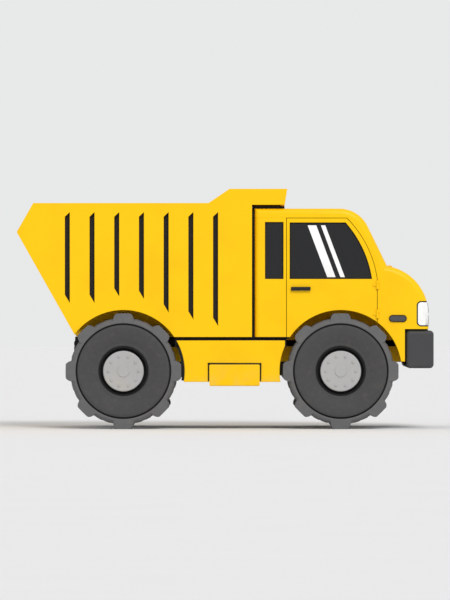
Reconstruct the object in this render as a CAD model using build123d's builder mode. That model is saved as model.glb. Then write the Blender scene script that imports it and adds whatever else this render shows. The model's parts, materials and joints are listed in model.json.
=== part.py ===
"""A compact two-axle rigid dump truck.

Ladder frame, leaf-sprung axles, short-nosed cab, tipping bed and twin hoist.

Millimetres. +X is forward, +Y is the truck's left, +Z is up. The origin is on the ground, under the middle
of the truck's length and width.
"""
import math
import os

from build123d import *

os.makedirs("parts", exist_ok=True)

# ---------------------------------------------------------------- driving dimensions
body_half_width = 1250.0          # outer faces of cab, skirts and bed
panel = 60.0                      # thickness of a cab wall, a door or a skirt

# wheels
tyre_radius = 810.0               # to the tips of the lugs
tread_radius = 746.0              # between the lugs
tyre_width = 480.0
tyre_shoulder = 45.0              # bevel between the tread and the sidewall
sidewall_dish = 60.0              # how far the sidewall falls in from the tread to the bead
tyre_bead_radius = 345.0
sidewall_radius = tread_radius - 98.0    # where the tread band meets the sidewall
track_half = body_half_width - 190.0     # middle plane of each tyre
lug_count = 8
lug_tip_width = 225.0
lug_base_width = 285.0
rim_disc_radius = 285.0
spindle_radius = 62.0
spindle_clearance = 0.4
axle_height = tyre_radius
rear_axle_x = -1425.0
wheelbase = 3042.0
front_axle_x = rear_axle_x + wheelbase
arch_radius = 856.0               # opening in the panels around each wheel

# frame
rail_outer = 400.0
rail_width = 110.0
rail_bottom = 930.0
rail_top = 1150.0
frame_rear_x = -2135.0

# bed
bed_floor_z = 1288.0              # underside of the floor and lower edge of the sides
bed_front_x = 375.0
bed_top_z = 3363.0
bed_rail_z = bed_top_z - 199.0
bed_tail_x = -2920.0
bed_tail_z = bed_rail_z - 406.0
bed_heel_x = -2092.0              # where the tail wall meets the floor
bed_rear_top_x = -2688.0
bed_step_x = -234.0
bed_canopy_rear_x = 60.0
bed_canopy_top_front_x = 869.0
bed_canopy_bottom_front_x = 834.0
bed_canopy_bottom_z = bed_top_z - 223.0
bed_panel = 70.0                  # outer ribbed side panel
bed_liner = 45.0                  # inner wall behind it
bed_floor_thickness = 70.0
bed_wall = 70.0                   # front wall and tail wall
bed_hinge_x = -2060.0
bed_hinge_z = 1190.0
hinge_pin_radius = 42.0

# slots in the bed's side panels: left edge, then the height of the lower tip
slot_first_x = -2246.0
slot_pitch = 346.0
slot_width = 70.0
slot_top_z = bed_rail_z - 126.0
slot_top_drop = 66.0
slot_tip_rise = 116.0
slot_tip_z = [1764.0, 1764.0, 1855.0, 1820.0, 1631.0, 1533.0, 1442.0]

# cab
cab_rear_x = 413.0
cab_roof_z = bed_canopy_bottom_z - 53.0
cab_bottom_z = 1288.0
roof_bend = 440.0                 # radius where the roof turns down into the windscreen
roof_bend_degrees = 62.0
roof_turn = math.radians(90.0 - roof_bend_degrees)
cowl_x = 2268.0
cowl_z = 2282.0
screen_run = 0.48901147           # how far forward the windscreen runs for each unit that it drops
screen_top_z = cab_roof_z - roof_bend + roof_bend * math.sin(roof_turn)
roof_front_x = cowl_x - (screen_top_z - cowl_z) * screen_run - roof_bend * math.cos(roof_turn)
nose_centre_x = 2169.0
nose_centre_z = 1610.0
nose_radius = 679.0
nose_bottom_z = 1400.0
nose_x = nose_centre_x + nose_radius
fender_bottom_z = 945.0
fender_front_x = 2515.0
cab_front_drop_x = 872.0
cab_edge_round = 85.0
cab_floor_bottom_z = 1718.0
cab_floor_thickness = 60.0
firewall_x = 2190.0
liner_radius = 890.0              # inner face of the liners over the front wheels
liner_thickness = 18.0

window_bottom_z = 2100.0
window_top_z = cab_roof_z - 195.0
door_rear_x = 862.0
door_front_x = 2125.0
door_top_z = cab_roof_z - 137.0
door_gap = 8.0
door_bend_top_x = roof_front_x + 100.0
door_bend_mid = (
    (door_bend_top_x + door_front_x) / 2 + 72.5,
    (door_top_z + window_bottom_z) / 2 + 30.0,
)
quarter_window = (557.0, 816.0)
door_window_rear_x = 902.0
door_window_top_x = roof_front_x + 86.0
door_window_front_x = door_front_x - 69.0
door_window_mid = (
    (door_window_top_x + door_window_front_x) / 2 + 54.0,
    (window_top_z + window_bottom_z) / 2 + 34.0,
)
glass = 10.0

# small pieces
skirt_top_z = 1239.0
skirt_bottom_z = 658.0
skirt_front_x = 837.0
box_rear_x, box_front_x = -222.0, 483.0
box_bottom_z, box_top_z = 602.0, 903.0
bumper_depth = 385.0
bumper_front_x = nose_x + 72.0
bumper_rear_x = bumper_front_x - bumper_depth
bumper_bottom_z, bumper_top_z = 850.0, 1379.0
bumper_round = 56.0
frame_front_x = bumper_rear_x
lamp_bottom_z, lamp_top_z = 1435.0, 1792.0
lamp_rear_x = nose_x - 168.0

# bounds well outside the truck, for cutting tools
far_x = bumper_front_x + 200.0
far_y = body_half_width + 150.0
far_z = bed_top_z + 150.0

written = []


def keep(part, name):
    """Label one finished piece and write it as its own STEP."""
    part.label = name
    export_step(part, f"parts/{name}.step")
    written.append(name)


def side_plane(y):
    """A sketch plane seen from the truck's right: sketch x is +X, sketch y is +Z, its normal is -Y."""
    return Plane(origin=(0, y, 0), x_dir=(1, 0, 0), z_dir=(0, -1, 0))


def prism(points, y0, y1):
    """A straight-sided outline in X and Z, extruded from y0 to y1."""
    with BuildPart() as made:
        with BuildSketch(side_plane(y1)):
            with BuildLine():
                Polyline(*points, close=True)
            make_face()
        extrude(amount=y1 - y0)
    return made.part


def block(x0, x1, y0, y1, z0, z1):
    """A plain box between two corners."""
    with BuildPart() as made:
        with Locations(((x0 + x1) / 2, (y0 + y1) / 2, (z0 + z1) / 2)):
            Box(x1 - x0, y1 - y0, z1 - z0)
    return made.part


def cross_cylinder(x, z, radius, y0, y1):
    """A cylinder lying along Y."""
    with BuildPart() as made:
        with BuildSketch(side_plane(y1)):
            with Locations((x, z)):
                Circle(radius)
        extrude(amount=y1 - y0)
    return made.part


def carve(part, *tools):
    """The piece with every tool cut out of it."""
    with BuildPart() as made:
        add(part)
        for tool in tools:
            add(tool, mode=Mode.SUBTRACT)
    return made.part


def common(part, tool):
    """What two solids share."""
    with BuildPart() as made:
        add(part)
        add(tool, mode=Mode.INTERSECT)
    return made.part


def joined(*parts):
    """Several solids as one piece, fused where they meet."""
    with BuildPart() as made:
        for part in parts:
            add(part)
    return made.part


def both_sides(part):
    """The piece and its mirror image across the truck's middle plane, as one part."""
    with BuildPart() as made:
        add(part)
        mirror(about=Plane.XZ)
    return made.part


rear_arch = cross_cylinder(rear_axle_x, axle_height, arch_radius, -far_y, far_y)
front_arch = cross_cylinder(front_axle_x, axle_height, arch_radius, -far_y, far_y)


# ---------------------------------------------------------------- wheels
def wheel_plane(y):
    """A sketch plane across a wheel's axle, at y from the wheel's middle, facing inwards."""
    return Plane(origin=(0, y, 0), x_dir=(1, 0, 0), z_dir=(0, -1, 0))


def faceted_ring(facets, outline):
    """A ring of flat facets about the wheel's axle, from a closed outline of (radius, y) corners."""
    angles = [2 * math.pi * i / facets for i in range(facets)]
    rings = []
    for radius, y in outline:
        rings.append([(radius * math.cos(angle), y, radius * math.sin(angle)) for angle in angles])
    faces = []
    for ring, following in zip(rings, rings[1:] + rings[:1]):
        for i in range(facets):
            j = (i + 1) % facets
            faces.append(Face(Wire.make_polygon((ring[i], ring[j], following[j], following[i]))))
    return Solid(Shell(faces))


def tyre_part(x, side):
    """One tyre of flat facets with its lugs, about an axle at x; side 1 is the left and -1 the right."""
    half = tyre_width / 2
    facets = 64
    bore_radius = tyre_bead_radius / math.cos(math.pi / facets)
    outline = [
        (bore_radius, half - sidewall_dish),
        (sidewall_radius, half),
        (tread_radius - tyre_shoulder, half),
        (tread_radius, half - tyre_shoulder),
        (tread_radius, tyre_shoulder - half),
        (tread_radius - tyre_shoulder, -half),
        (sidewall_radius, -half),
        (bore_radius, sidewall_dish - half),
    ]
    lug_root = sidewall_radius + 20
    with BuildPart() as lug:
        with BuildSketch(wheel_plane(half)):
            with BuildLine():
                Polyline(
                    (-lug_base_width / 2, lug_root),
                    (lug_base_width / 2, lug_root),
                    (lug_base_width / 2, tread_radius - 6),
                    (lug_tip_width / 2, tyre_radius),
                    (-lug_tip_width / 2, tyre_radius),
                    (-lug_base_width / 2, tread_radius - 6),
                    close=True,
                )
            make_face()
        extrude(amount=tyre_width)
    with BuildPart() as made:
        add(faceted_ring(facets, outline))
        for i in range(lug_count):
            add(lug.part.rotate(Axis.Y, 360.0 / lug_count * i))
    placed = made.part if side > 0 else made.part.mirror(Plane.XZ)
    return placed.moved(Location((x, side * track_half, axle_height)))


def rim_part(x, side):
    """One rim: a barrel under the tyre, a dished plate and the hub that turns on the spindle."""
    half = tyre_width / 2
    with BuildPart() as made:
        with BuildSketch(Plane.XY):
            with BuildLine():
                Polyline(
                    (tyre_bead_radius - 25, -half + 60),
                    (tyre_bead_radius, -half + 60),
                    (tyre_bead_radius, half - 60),
                    (tyre_bead_radius - 25, half - 60),
                    (tyre_bead_radius - 25, half - 120),
                    (rim_disc_radius, half - 120),
                    (rim_disc_radius, half - 30),
                    (rim_disc_radius - 12, half - 18),
                    (0, half - 18),
                    (0, half - 60),
                    (rim_disc_radius - 60, half - 60),
                    (rim_disc_radius - 60, half - 160),
                    (tyre_bead_radius - 25, half - 160),
                    close=True,
                )
            make_face()
        revolve(axis=Axis.Y)
        with BuildSketch(Plane(origin=(0, half - 60, 0), x_dir=(1, 0, 0), z_dir=(0, -1, 0))):
            Circle(120)
            Circle(spindle_radius + spindle_clearance, mode=Mode.SUBTRACT)
        extrude(amount=160)
        with BuildSketch(Plane(origin=(0, half - 160 + 30, 0), x_dir=(1, 0, 0), z_dir=(0, -1, 0))):
            Circle(rim_disc_radius - 60)
            Circle(spindle_radius + spindle_clearance, mode=Mode.SUBTRACT)
        extrude(amount=30)
    placed = made.part if side > 0 else made.part.mirror(Plane.XZ)
    return placed.moved(Location((x, side * track_half, axle_height)))


for end, x in (("front", front_axle_x), ("rear", rear_axle_x)):
    for hand, side in (("left", 1), ("right", -1)):
        keep(tyre_part(x, side), f"tyre_{end}_{hand}")
        keep(rim_part(x, side), f"rim_{end}_{hand}")


# ---------------------------------------------------------------- frame and running gear
rail_middle = (rail_outer - rail_width / 2)
rail_inner = rail_outer - rail_width
hoist_base = (200.0, 800.0)
hoist_eye = (-1160.0, 1205.0)
hoist_y = 180.0
hoist_eye_width = 60.0
kingpin_y = 960.0
kingpin_radius = 28.0
axle_boss_bottom, axle_boss_top = 730.0, 890.0
front_beam_top = 790.0
spring_width = 80.0
leaf = 14.0
outrigger_x = (-450.0, 130.0, 650.0)
box_hanger_x = (-100.0, 360.0)
cross_members = (
    (-1560.0, 1030, 1130),
    (350.0, 980, 1100),
    (870.0, 1110, 1150),
    (frame_front_x - 50, 960, 1120),
)
tow_x = frame_rear_x - 40.0
tow_low_z, tow_high_z = 775.0, 885.0
tow_plate = 28.0
tow_bore_radius = 20.5
cab_post_x = (520.0, 2330.0)
hinge_ear_radius = 70.0
rear_tube_radius = 100.0


def frame_rails_part():
    """The two box rails with their hinge ears, hoist brackets, spring hangers and cab posts."""
    base_x, base_z = hoist_base
    with BuildPart() as made:
        add(block(frame_rear_x, frame_front_x, rail_inner, rail_outer, rail_bottom, rail_top))
        horn_front_x = bumper_front_x - panel
        add(block(frame_front_x, horn_front_x, rail_inner, rail_outer, rail_bottom + 40, rail_top - 40))
        add(block(bed_hinge_x - hinge_ear_radius, bed_hinge_x + hinge_ear_radius, rail_inner, rail_outer,
                  rail_top, bed_hinge_z))
        add(cross_cylinder(bed_hinge_x, bed_hinge_z, hinge_ear_radius, rail_inner, rail_outer))
        add(block(base_x - 60, base_x + 60, rail_inner, rail_outer, base_z - 50, rail_bottom))
        for x in cab_post_x:
            add(block(x - 40, x + 40, rail_inner, rail_outer, rail_top, cab_floor_bottom_z))
        for x in (front_axle_x - 520, front_axle_x + 520):
            add(block(x - 30, x + 30, rail_inner, rail_outer, rail_bottom - 25, rail_bottom))
        add(cross_cylinder(bed_hinge_x, bed_hinge_z, hinge_pin_radius, rail_inner - 20, rail_outer + 60),
            mode=Mode.SUBTRACT)
    return both_sides(made.part)


def frame_cross_members_part():
    """The cross-members between the rails, the bed's hinge shaft, the hoist's pins and the tow clevis."""
    with BuildPart() as made:
        for x, low_z, high_z in cross_members:
            add(block(x - 45, x + 45, -rail_inner, rail_inner, low_z, high_z))
        add(cross_cylinder(bed_hinge_x, bed_hinge_z, hinge_pin_radius, -rail_outer - 90, rail_outer + 90))
        for side in (1, -1):
            add(cross_cylinder(*hoist_base, 30, *sorted((side * 120, side * rail_inner))))
            for x in (1650.0, 2200.0):
                add(block(x - 50, x + 50, *sorted((side * 270, side * rail_inner)), 1000, 1080))
        add(block(frame_rear_x, frame_rear_x + 45, -rail_inner, rail_inner, 980, 1130))
        add(block(frame_rear_x, frame_rear_x + 45, -110, 110, tow_low_z, 980))
        for low in (tow_low_z, tow_high_z - tow_plate):
            add(block(tow_x, frame_rear_x, -60, 60, low, low + tow_plate))
            with Locations((tow_x, 0, low + tow_plate / 2)):
                Cylinder(60, tow_plate)
        with Locations((tow_x, 0, tow_low_z)):
            Cylinder(tow_bore_radius, 400, mode=Mode.SUBTRACT)
    return made.part


def frame_outriggers_part():
    """The brackets that carry the rear springs, the side skirts and the side boxes."""
    with BuildPart() as made:
        for x in outrigger_x:
            add(block(x - 35, x + 35, rail_outer, body_half_width - panel, 1000, 1080))
        for x in box_hanger_x:
            add(block(x - 30, x + 30, rail_outer, 1030, 1000, 1080))
            add(block(x - 30, x + 30, 980, 1030, box_top_z, 1040))
        for x in (rear_axle_x - 520, rear_axle_x + 520):
            add(block(x - 30, x + 30, rail_outer, 510, 1050, 1100))
    return both_sides(made.part)


def leaf_spring(x, y, seat_z, leaves, rise):
    """One bowed pack of leaves over the axle at x, its lowest leaf resting on seat_z."""
    with BuildPart() as made:
        for i in range(leaves):
            reach = 520.0 - 95.0 * i
            base = seat_z + leaf * (leaves - 1 - i)
            lift = rise * (reach / 520.0) ** 2
            with BuildSketch(side_plane(y + spring_width / 2)):
                with BuildLine():
                    ThreePointArc((x - reach, base + lift), (x, base), (x + reach, base + lift))
                    Line((x + reach, base + lift), (x + reach, base + lift + leaf))
                    ThreePointArc(
                        (x + reach, base + lift + leaf),
                        (x, base + leaf),
                        (x - reach, base + lift + leaf),
                    )
                    Line((x - reach, base + lift + leaf), (x - reach, base + lift))
                make_face()
            extrude(amount=spring_width)
    return made.part


rear_spring_y = 465.0
rear_seat_z = axle_height + rear_tube_radius + 12
front_spring_seat_z = front_beam_top + 10


def springs_part():
    """The four leaf packs."""
    with BuildPart() as made:
        add(both_sides(leaf_spring(rear_axle_x, rear_spring_y, rear_seat_z, 5, 58.0)))
        add(both_sides(leaf_spring(front_axle_x, rail_middle, front_spring_seat_z, 4, 49.0)))
    return made.part


def rear_axle_part():
    """The rear axle: a tube with the differential's round housing, spring seats and the two spindles."""
    with BuildPart() as made:
        add(cross_cylinder(rear_axle_x, axle_height, rear_tube_radius, -900, 900))
        add(cross_cylinder(rear_axle_x, axle_height, spindle_radius, -track_half - 178, track_half + 178))
        with Locations((rear_axle_x, 0, axle_height)):
            Sphere(185)
        add(block(rear_axle_x, rear_axle_x + 230, -70, 70, axle_height - 70, axle_height + 70))
        for side in (1, -1):
            low, high = sorted((side * (rear_spring_y - 45), side * (rear_spring_y + 45)))
            add(block(rear_axle_x - 70, rear_axle_x + 70, low, high, axle_height, rear_seat_z))
    return made.part


def front_axle_part():
    """The front axle: a dropped beam whose ends stand up as the bosses of the kingpins."""
    with BuildPart() as made:
        add(block(front_axle_x - 60, front_axle_x + 60, -840, 840, front_beam_top - 100, front_beam_top))
        for side in (1, -1):
            with Locations((front_axle_x, side * kingpin_y, (axle_boss_bottom + axle_boss_top) / 2)):
                Cylinder(62, axle_boss_top - axle_boss_bottom)
            low, high = sorted((side * 820, side * kingpin_y))
            low_z = axle_boss_bottom + 5
            add(block(front_axle_x - 50, front_axle_x + 50, low, high, low_z, axle_boss_top - 25))
            low, high = sorted((side * (rail_middle - 45), side * (rail_middle + 45)))
            add(block(front_axle_x - 65, front_axle_x + 65, low, high, front_beam_top, front_spring_seat_z))
        for side in (1, -1):
            with Locations((front_axle_x, side * kingpin_y, axle_height)):
                Cylinder(kingpin_radius + 0.4, 400, mode=Mode.SUBTRACT)
    return made.part


arm_end = (front_axle_x - 180.0, kingpin_y)
arm_top, arm_bottom = 722.0, 690.0


def knuckle_part(side):
    """One steering knuckle: fork round the axle's boss, kingpin, the wheel's spindle and the track arm."""
    with BuildPart() as made:
        for low, high in ((axle_boss_top + 4, axle_boss_top + 44), (arm_bottom, axle_boss_bottom - 4)):
            with Locations((front_axle_x, kingpin_y, (low + high) / 2)):
                Cylinder(62, high - low)
            add(block(front_axle_x - 62, front_axle_x + 62, kingpin_y, kingpin_y + 110, low, high))
        fork_inner = kingpin_y + 72
        fork_outer = kingpin_y + 110
        fork_top = axle_boss_top + 44
        add(block(front_axle_x - 62, front_axle_x + 62, fork_inner, fork_outer, arm_bottom, fork_top))
        with Locations((front_axle_x, kingpin_y, (arm_bottom + axle_boss_top + 44) / 2)):
            Cylinder(kingpin_radius, axle_boss_top + 44 - arm_bottom)
        add(cross_cylinder(front_axle_x, axle_height, spindle_radius, kingpin_y + 80, track_half + 178))
        with BuildSketch(Plane.XY.offset(arm_bottom)):
            with BuildLine():
                Polyline(
                    (front_axle_x - 30, kingpin_y - 45),
                    (front_axle_x - 30, kingpin_y + 45),
                    (arm_end[0], arm_end[1] + 35),
                    (arm_end[0], arm_end[1] - 35),
                    close=True,
                )
            make_face()
        extrude(amount=arm_top - arm_bottom)
        with Locations((*arm_end, (arm_top + arm_bottom) / 2)):
            Cylinder(38, arm_top - arm_bottom)
    return made.part if side > 0 else made.part.mirror(Plane.XZ)


def tie_rod_part():
    """The tie rod, whose ends lie under the two track arms."""
    with BuildPart() as made:
        add(cross_cylinder(arm_end[0], arm_bottom - 30, 22, -arm_end[1], arm_end[1]))
        for side in (1, -1):
            with Locations((arm_end[0], side * arm_end[1], arm_bottom - 30)):
                Cylinder(34, 59)
    return made.part


def drive_shaft_part():
    """The propeller shaft between the gearbox and the rear axle."""
    start = (gearbox_rear_x, gearbox_z)
    finish = (rear_axle_x + 230, axle_height)
    run = math.dist(start, finish)
    with BuildPart() as made:
        with BuildSketch(Plane(origin=(start[0], 0, start[1]),
                               z_dir=(finish[0] - start[0], 0, finish[1] - start[1]))):
            Circle(42)
        extrude(amount=run)
    return common(made.part, block(finish[0], start[0], -60, 60, axle_height - 110, gearbox_z + 150))


engine_rear_x, engine_front_x = 1420.0, 2380.0
gearbox_rear_x, gearbox_z = 950.0, 850.0


def engine_part():
    """The engine as a plain block, with the gearbox behind it."""
    with BuildPart() as made:
        add(block(engine_rear_x, engine_front_x, -270, 270, 960, 1690))
        add(block(gearbox_rear_x, engine_rear_x, -150, 150, 770, 1100))
        add(block(engine_rear_x, engine_rear_x + 80, -150, 150, 800, 960))
    return made.part


# hoist: the barrel pivots on the frame's pins and the rod's eye lies between the bed's ears
hoist_run = math.dist(hoist_base, hoist_eye)
hoist_dir = ((hoist_eye[0] - hoist_base[0]) / hoist_run, (hoist_eye[1] - hoist_base[1]) / hoist_run)
hoist_barrel_length = 1230.0


def hoist_point(along):
    """The point on the hoist's line that far from its base pin."""
    return (hoist_base[0] + hoist_dir[0] * along, hoist_base[1] + hoist_dir[1] * along)


def hoist_tube(start, length, outer, inner, y):
    """A round bar or tube on the hoist's line, from start to start + length."""
    x, z = hoist_point(start)
    with BuildPart() as made:
        with BuildSketch(Plane(origin=(x, y, z), z_dir=(hoist_dir[0], 0, hoist_dir[1]))):
            Circle(outer)
            if inner:
                Circle(inner, mode=Mode.SUBTRACT)
        extrude(amount=length)
    return made.part


def hoist_barrels_part():
    """The two hoist barrels with their base eyes."""
    half = hoist_eye_width / 2
    with BuildPart() as made:
        add(hoist_tube(60, hoist_barrel_length - 60, 68, 46, hoist_y))
        add(hoist_tube(40, 40, 68, 0, hoist_y))
        add(cross_cylinder(*hoist_base, 58, hoist_y - half, hoist_y + half))
        with Locations((hoist_base[0], hoist_y, hoist_base[1])):
            Cylinder(30.4, 400, rotation=(90, 0, 0), mode=Mode.SUBTRACT)
    return both_sides(made.part)


def hoist_rods_part():
    """The two hoist rods, each with the eye and pin at its upper end."""
    half = hoist_eye_width / 2
    with BuildPart() as made:
        add(hoist_tube(140, hoist_run - 140, 30, 0, hoist_y))
        add(hoist_tube(140, 60, 45.5, 0, hoist_y))
        add(cross_cylinder(*hoist_eye, 50, hoist_y - half, hoist_y + half))
    return both_sides(made.part)


keep(frame_rails_part(), "frame_rails")
keep(frame_cross_members_part(), "frame_cross_members")
keep(frame_outriggers_part(), "frame_outriggers")
keep(springs_part(), "leaf_springs")
keep(rear_axle_part(), "rear_axle")
keep(front_axle_part(), "front_axle")
keep(knuckle_part(1), "knuckle_left")
keep(knuckle_part(-1), "knuckle_right")
keep(tie_rod_part(), "tie_rod")
keep(engine_part(), "engine")
keep(drive_shaft_part(), "drive_shaft")
keep(hoist_barrels_part(), "hoist_barrels")
keep(hoist_rods_part(), "hoist_rods")


# ---------------------------------------------------------------- bed
side_outline = [
    (bed_front_x, bed_floor_z),
    (bed_front_x, bed_canopy_bottom_z),
    (bed_canopy_bottom_front_x, bed_canopy_bottom_z),
    (bed_canopy_top_front_x, bed_top_z),
    (bed_canopy_rear_x, bed_top_z),
    (bed_step_x, bed_rail_z),
    (bed_rear_top_x, bed_rail_z),
    (bed_tail_x, bed_tail_z),
    (bed_heel_x, bed_floor_z),
]
tail_run = math.dist((bed_heel_x, bed_floor_z), (bed_tail_x, bed_tail_z))
tail_dir = ((bed_tail_x - bed_heel_x) / tail_run, (bed_tail_z - bed_floor_z) / tail_run)
tail_in = (tail_dir[1], -tail_dir[0])      # unit vector from the tail's outer line into the bed
panel_inner = body_half_width - bed_panel
liner_inner = panel_inner - bed_liner
wheel_box_wall = 40.0
tail_rib_inner_y = 215.0
canopy_rib_inner_y = 250.0
bed_member_x = (-1800.0, -880.0, -430.0, 20.0)
bed_member_z = 1215.0
wheel_box_inner = track_half - tyre_width / 2 - 50 - wheel_box_wall


def tail_line(inset, z):
    """The x of the line that lies inset inside the tail's outer line, at height z."""
    x0 = bed_heel_x + tail_in[0] * inset
    z0 = bed_floor_z + tail_in[1] * inset
    return x0 + (z - z0) * tail_dir[0] / tail_dir[1]


def bed_side_panels_part():
    """The outer side panels with their seven slots and the arch over the wheel."""
    with BuildPart() as made:
        with BuildSketch(side_plane(body_half_width)):
            with BuildLine():
                Polyline(*side_outline, close=True)
            make_face()
            for i, tip in enumerate(slot_tip_z):
                left = slot_first_x + slot_pitch * i
                with BuildLine():
                    Polyline(
                        (left, slot_top_z - slot_top_drop),
                        (left + slot_width, slot_top_z),
                        (left + slot_width, tip),
                        (left, tip + slot_tip_rise),
                        close=True,
                    )
                make_face(mode=Mode.SUBTRACT)
        extrude(amount=bed_panel)
        add(rear_arch, mode=Mode.SUBTRACT)
    return both_sides(made.part)


def bed_side_liners_part():
    """The inner side walls behind the ribbed panels."""
    with BuildPart() as made:
        add(prism(side_outline, liner_inner, panel_inner))
        add(rear_arch, mode=Mode.SUBTRACT)
    return both_sides(made.part)


def bed_wheel_boxes():
    """The two boxes that cover the wheels inside the bed."""
    inside = prism([(bed_front_x, bed_floor_z), (bed_front_x, 2400), (tail_line(60, 2400), 2400),
                    (tail_line(60, bed_floor_z), bed_floor_z)], wheel_box_inner, liner_inner)
    with BuildPart() as made:
        outer_radius = arch_radius + wheel_box_wall
        hollow_from = wheel_box_inner + wheel_box_wall
        hollow = cross_cylinder(rear_axle_x, axle_height, arch_radius, hollow_from, liner_inner)
        add(cross_cylinder(rear_axle_x, axle_height, outer_radius, wheel_box_inner, liner_inner))
        add(hollow, mode=Mode.SUBTRACT)
        add(inside, mode=Mode.INTERSECT)
    return both_sides(made.part)


def wheel_box_clearance(side):
    """What the wheel box of one side takes out of the floor and the tail wall."""
    low, high = sorted((side * wheel_box_inner, side * far_y))
    return cross_cylinder(rear_axle_x, axle_height, arch_radius + wheel_box_wall, low, high)


def bed_floor_part():
    """The floor with the two boxes that stand over the wheels."""
    floor_top = bed_floor_z + bed_floor_thickness
    outline = [
        (tail_line(0, bed_floor_z), bed_floor_z),
        (bed_front_x, bed_floor_z),
        (bed_front_x, floor_top),
        (tail_line(0, floor_top), floor_top),
    ]
    with BuildPart() as made:
        add(prism(outline, -liner_inner, liner_inner))
        for side in (1, -1):
            add(wheel_box_clearance(side), mode=Mode.SUBTRACT)
        add(bed_wheel_boxes())
    return made.part


def bed_front_wall_part():
    """The wall behind the cab."""
    return block(bed_front_x - bed_wall, bed_front_x, -liner_inner, liner_inner,
                 bed_floor_z + bed_floor_thickness, bed_top_z - 60)


def bed_canopy_part():
    """The plate over the cab roof, with its front lip and stiffeners."""
    slope = (bed_canopy_top_front_x - bed_canopy_bottom_front_x) / (bed_top_z - bed_canopy_bottom_z)
    plate_z = bed_top_z - 60
    plate_front_x = bed_canopy_top_front_x - slope * 60
    plate = [
        (bed_front_x - bed_wall, plate_z),
        (plate_front_x, plate_z),
        (bed_canopy_top_front_x, bed_top_z),
        (bed_front_x - bed_wall, bed_top_z),
    ]
    lip = [
        (bed_canopy_bottom_front_x - 50, bed_canopy_bottom_z),
        (bed_canopy_bottom_front_x, bed_canopy_bottom_z),
        (plate_front_x, plate_z),
        (plate_front_x - 50, plate_z),
    ]
    rib_front_x = bed_canopy_bottom_front_x - 40
    with BuildPart() as made:
        add(prism(plate, -liner_inner, liner_inner))
        add(prism(lip, -liner_inner, liner_inner))
        for y in (liner_inner - 435, canopy_rib_inner_y):
            for low_y in (y - 20, -y - 20):
                add(block(bed_front_x, rib_front_x, low_y, low_y + 40, bed_canopy_bottom_z + 40, plate_z))
    return made.part


def bed_tail_wall_part():
    """The sloping tail wall with its outer ribs, notched over the wheels."""
    rib = 60.0
    floor_top = bed_floor_z + bed_floor_thickness

    def slab(near, far, low_z, y0, y1):
        outline = [
            (tail_line(near, low_z), low_z),
            (tail_line(near, bed_tail_z), bed_tail_z),
            (tail_line(far, bed_tail_z), bed_tail_z),
            (tail_line(far, low_z), low_z),
        ]
        return prism(outline, y0, y1)

    with BuildPart() as made:
        add(slab(rib, rib + bed_wall, floor_top, -liner_inner, liner_inner))
        for y in (liner_inner - 50, wheel_box_inner - 90, tail_rib_inner_y):
            add(slab(0, rib, floor_top, y - 50, y + 50))
            add(slab(0, rib, floor_top, -y - 50, -y + 50))
        add(slab(0, rib, bed_tail_z - 110, -liner_inner, liner_inner))
        for side in (1, -1):
            add(wheel_box_clearance(side), mode=Mode.SUBTRACT)
    return made.part


def bed_runners_part():
    """The bed's two sills on the rails, and its hinge rings beside them."""
    ring_low, ring_high = rail_outer + 10, rail_outer + 80
    with BuildPart() as made:
        add(block(-1950, 330, rail_inner, rail_outer, rail_top, bed_floor_z))
        add(cross_cylinder(bed_hinge_x, bed_hinge_z, 75, ring_low, ring_high))
        add(block(bed_hinge_x - 60, bed_hinge_x + 75, ring_low, ring_high, bed_hinge_z, bed_floor_z))
        add(cross_cylinder(bed_hinge_x, bed_hinge_z, hinge_pin_radius + 0.4, ring_low - 20, ring_high + 20),
            mode=Mode.SUBTRACT)
    return both_sides(made.part)


def bed_cross_members_part():
    """The bed's cross-members under the floor, and the ears for the hoist's eyes."""
    near, far = hoist_y - hoist_eye_width / 2 - 6, hoist_y + hoist_eye_width / 2 + 6
    with BuildPart() as made:
        for x in bed_member_x:
            add(block(x - 35, x + 35, 0, rail_inner, bed_member_z, bed_floor_z))
            if x > rear_axle_x + arch_radius:
                add(block(x - 35, x + 35, rail_outer, liner_inner, bed_member_z, bed_floor_z))
        for low, high in ((near - 20, near), (far, far + 20)):
            add(block(hoist_eye[0] - 60, hoist_eye[0] + 60, low, high, hoist_eye[1] - 50, bed_floor_z))
    return both_sides(made.part)


keep(bed_side_panels_part(), "bed_side_panels")
keep(bed_side_liners_part(), "bed_side_liners")
keep(bed_floor_part(), "bed_floor")
keep(bed_front_wall_part(), "bed_front_wall")
keep(bed_canopy_part(), "bed_canopy")
keep(bed_tail_wall_part(), "bed_tail_wall")
keep(bed_runners_part(), "bed_runners")
keep(bed_cross_members_part(), "bed_cross_members")


# ---------------------------------------------------------------- cab
wall_inner = body_half_width - panel


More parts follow.
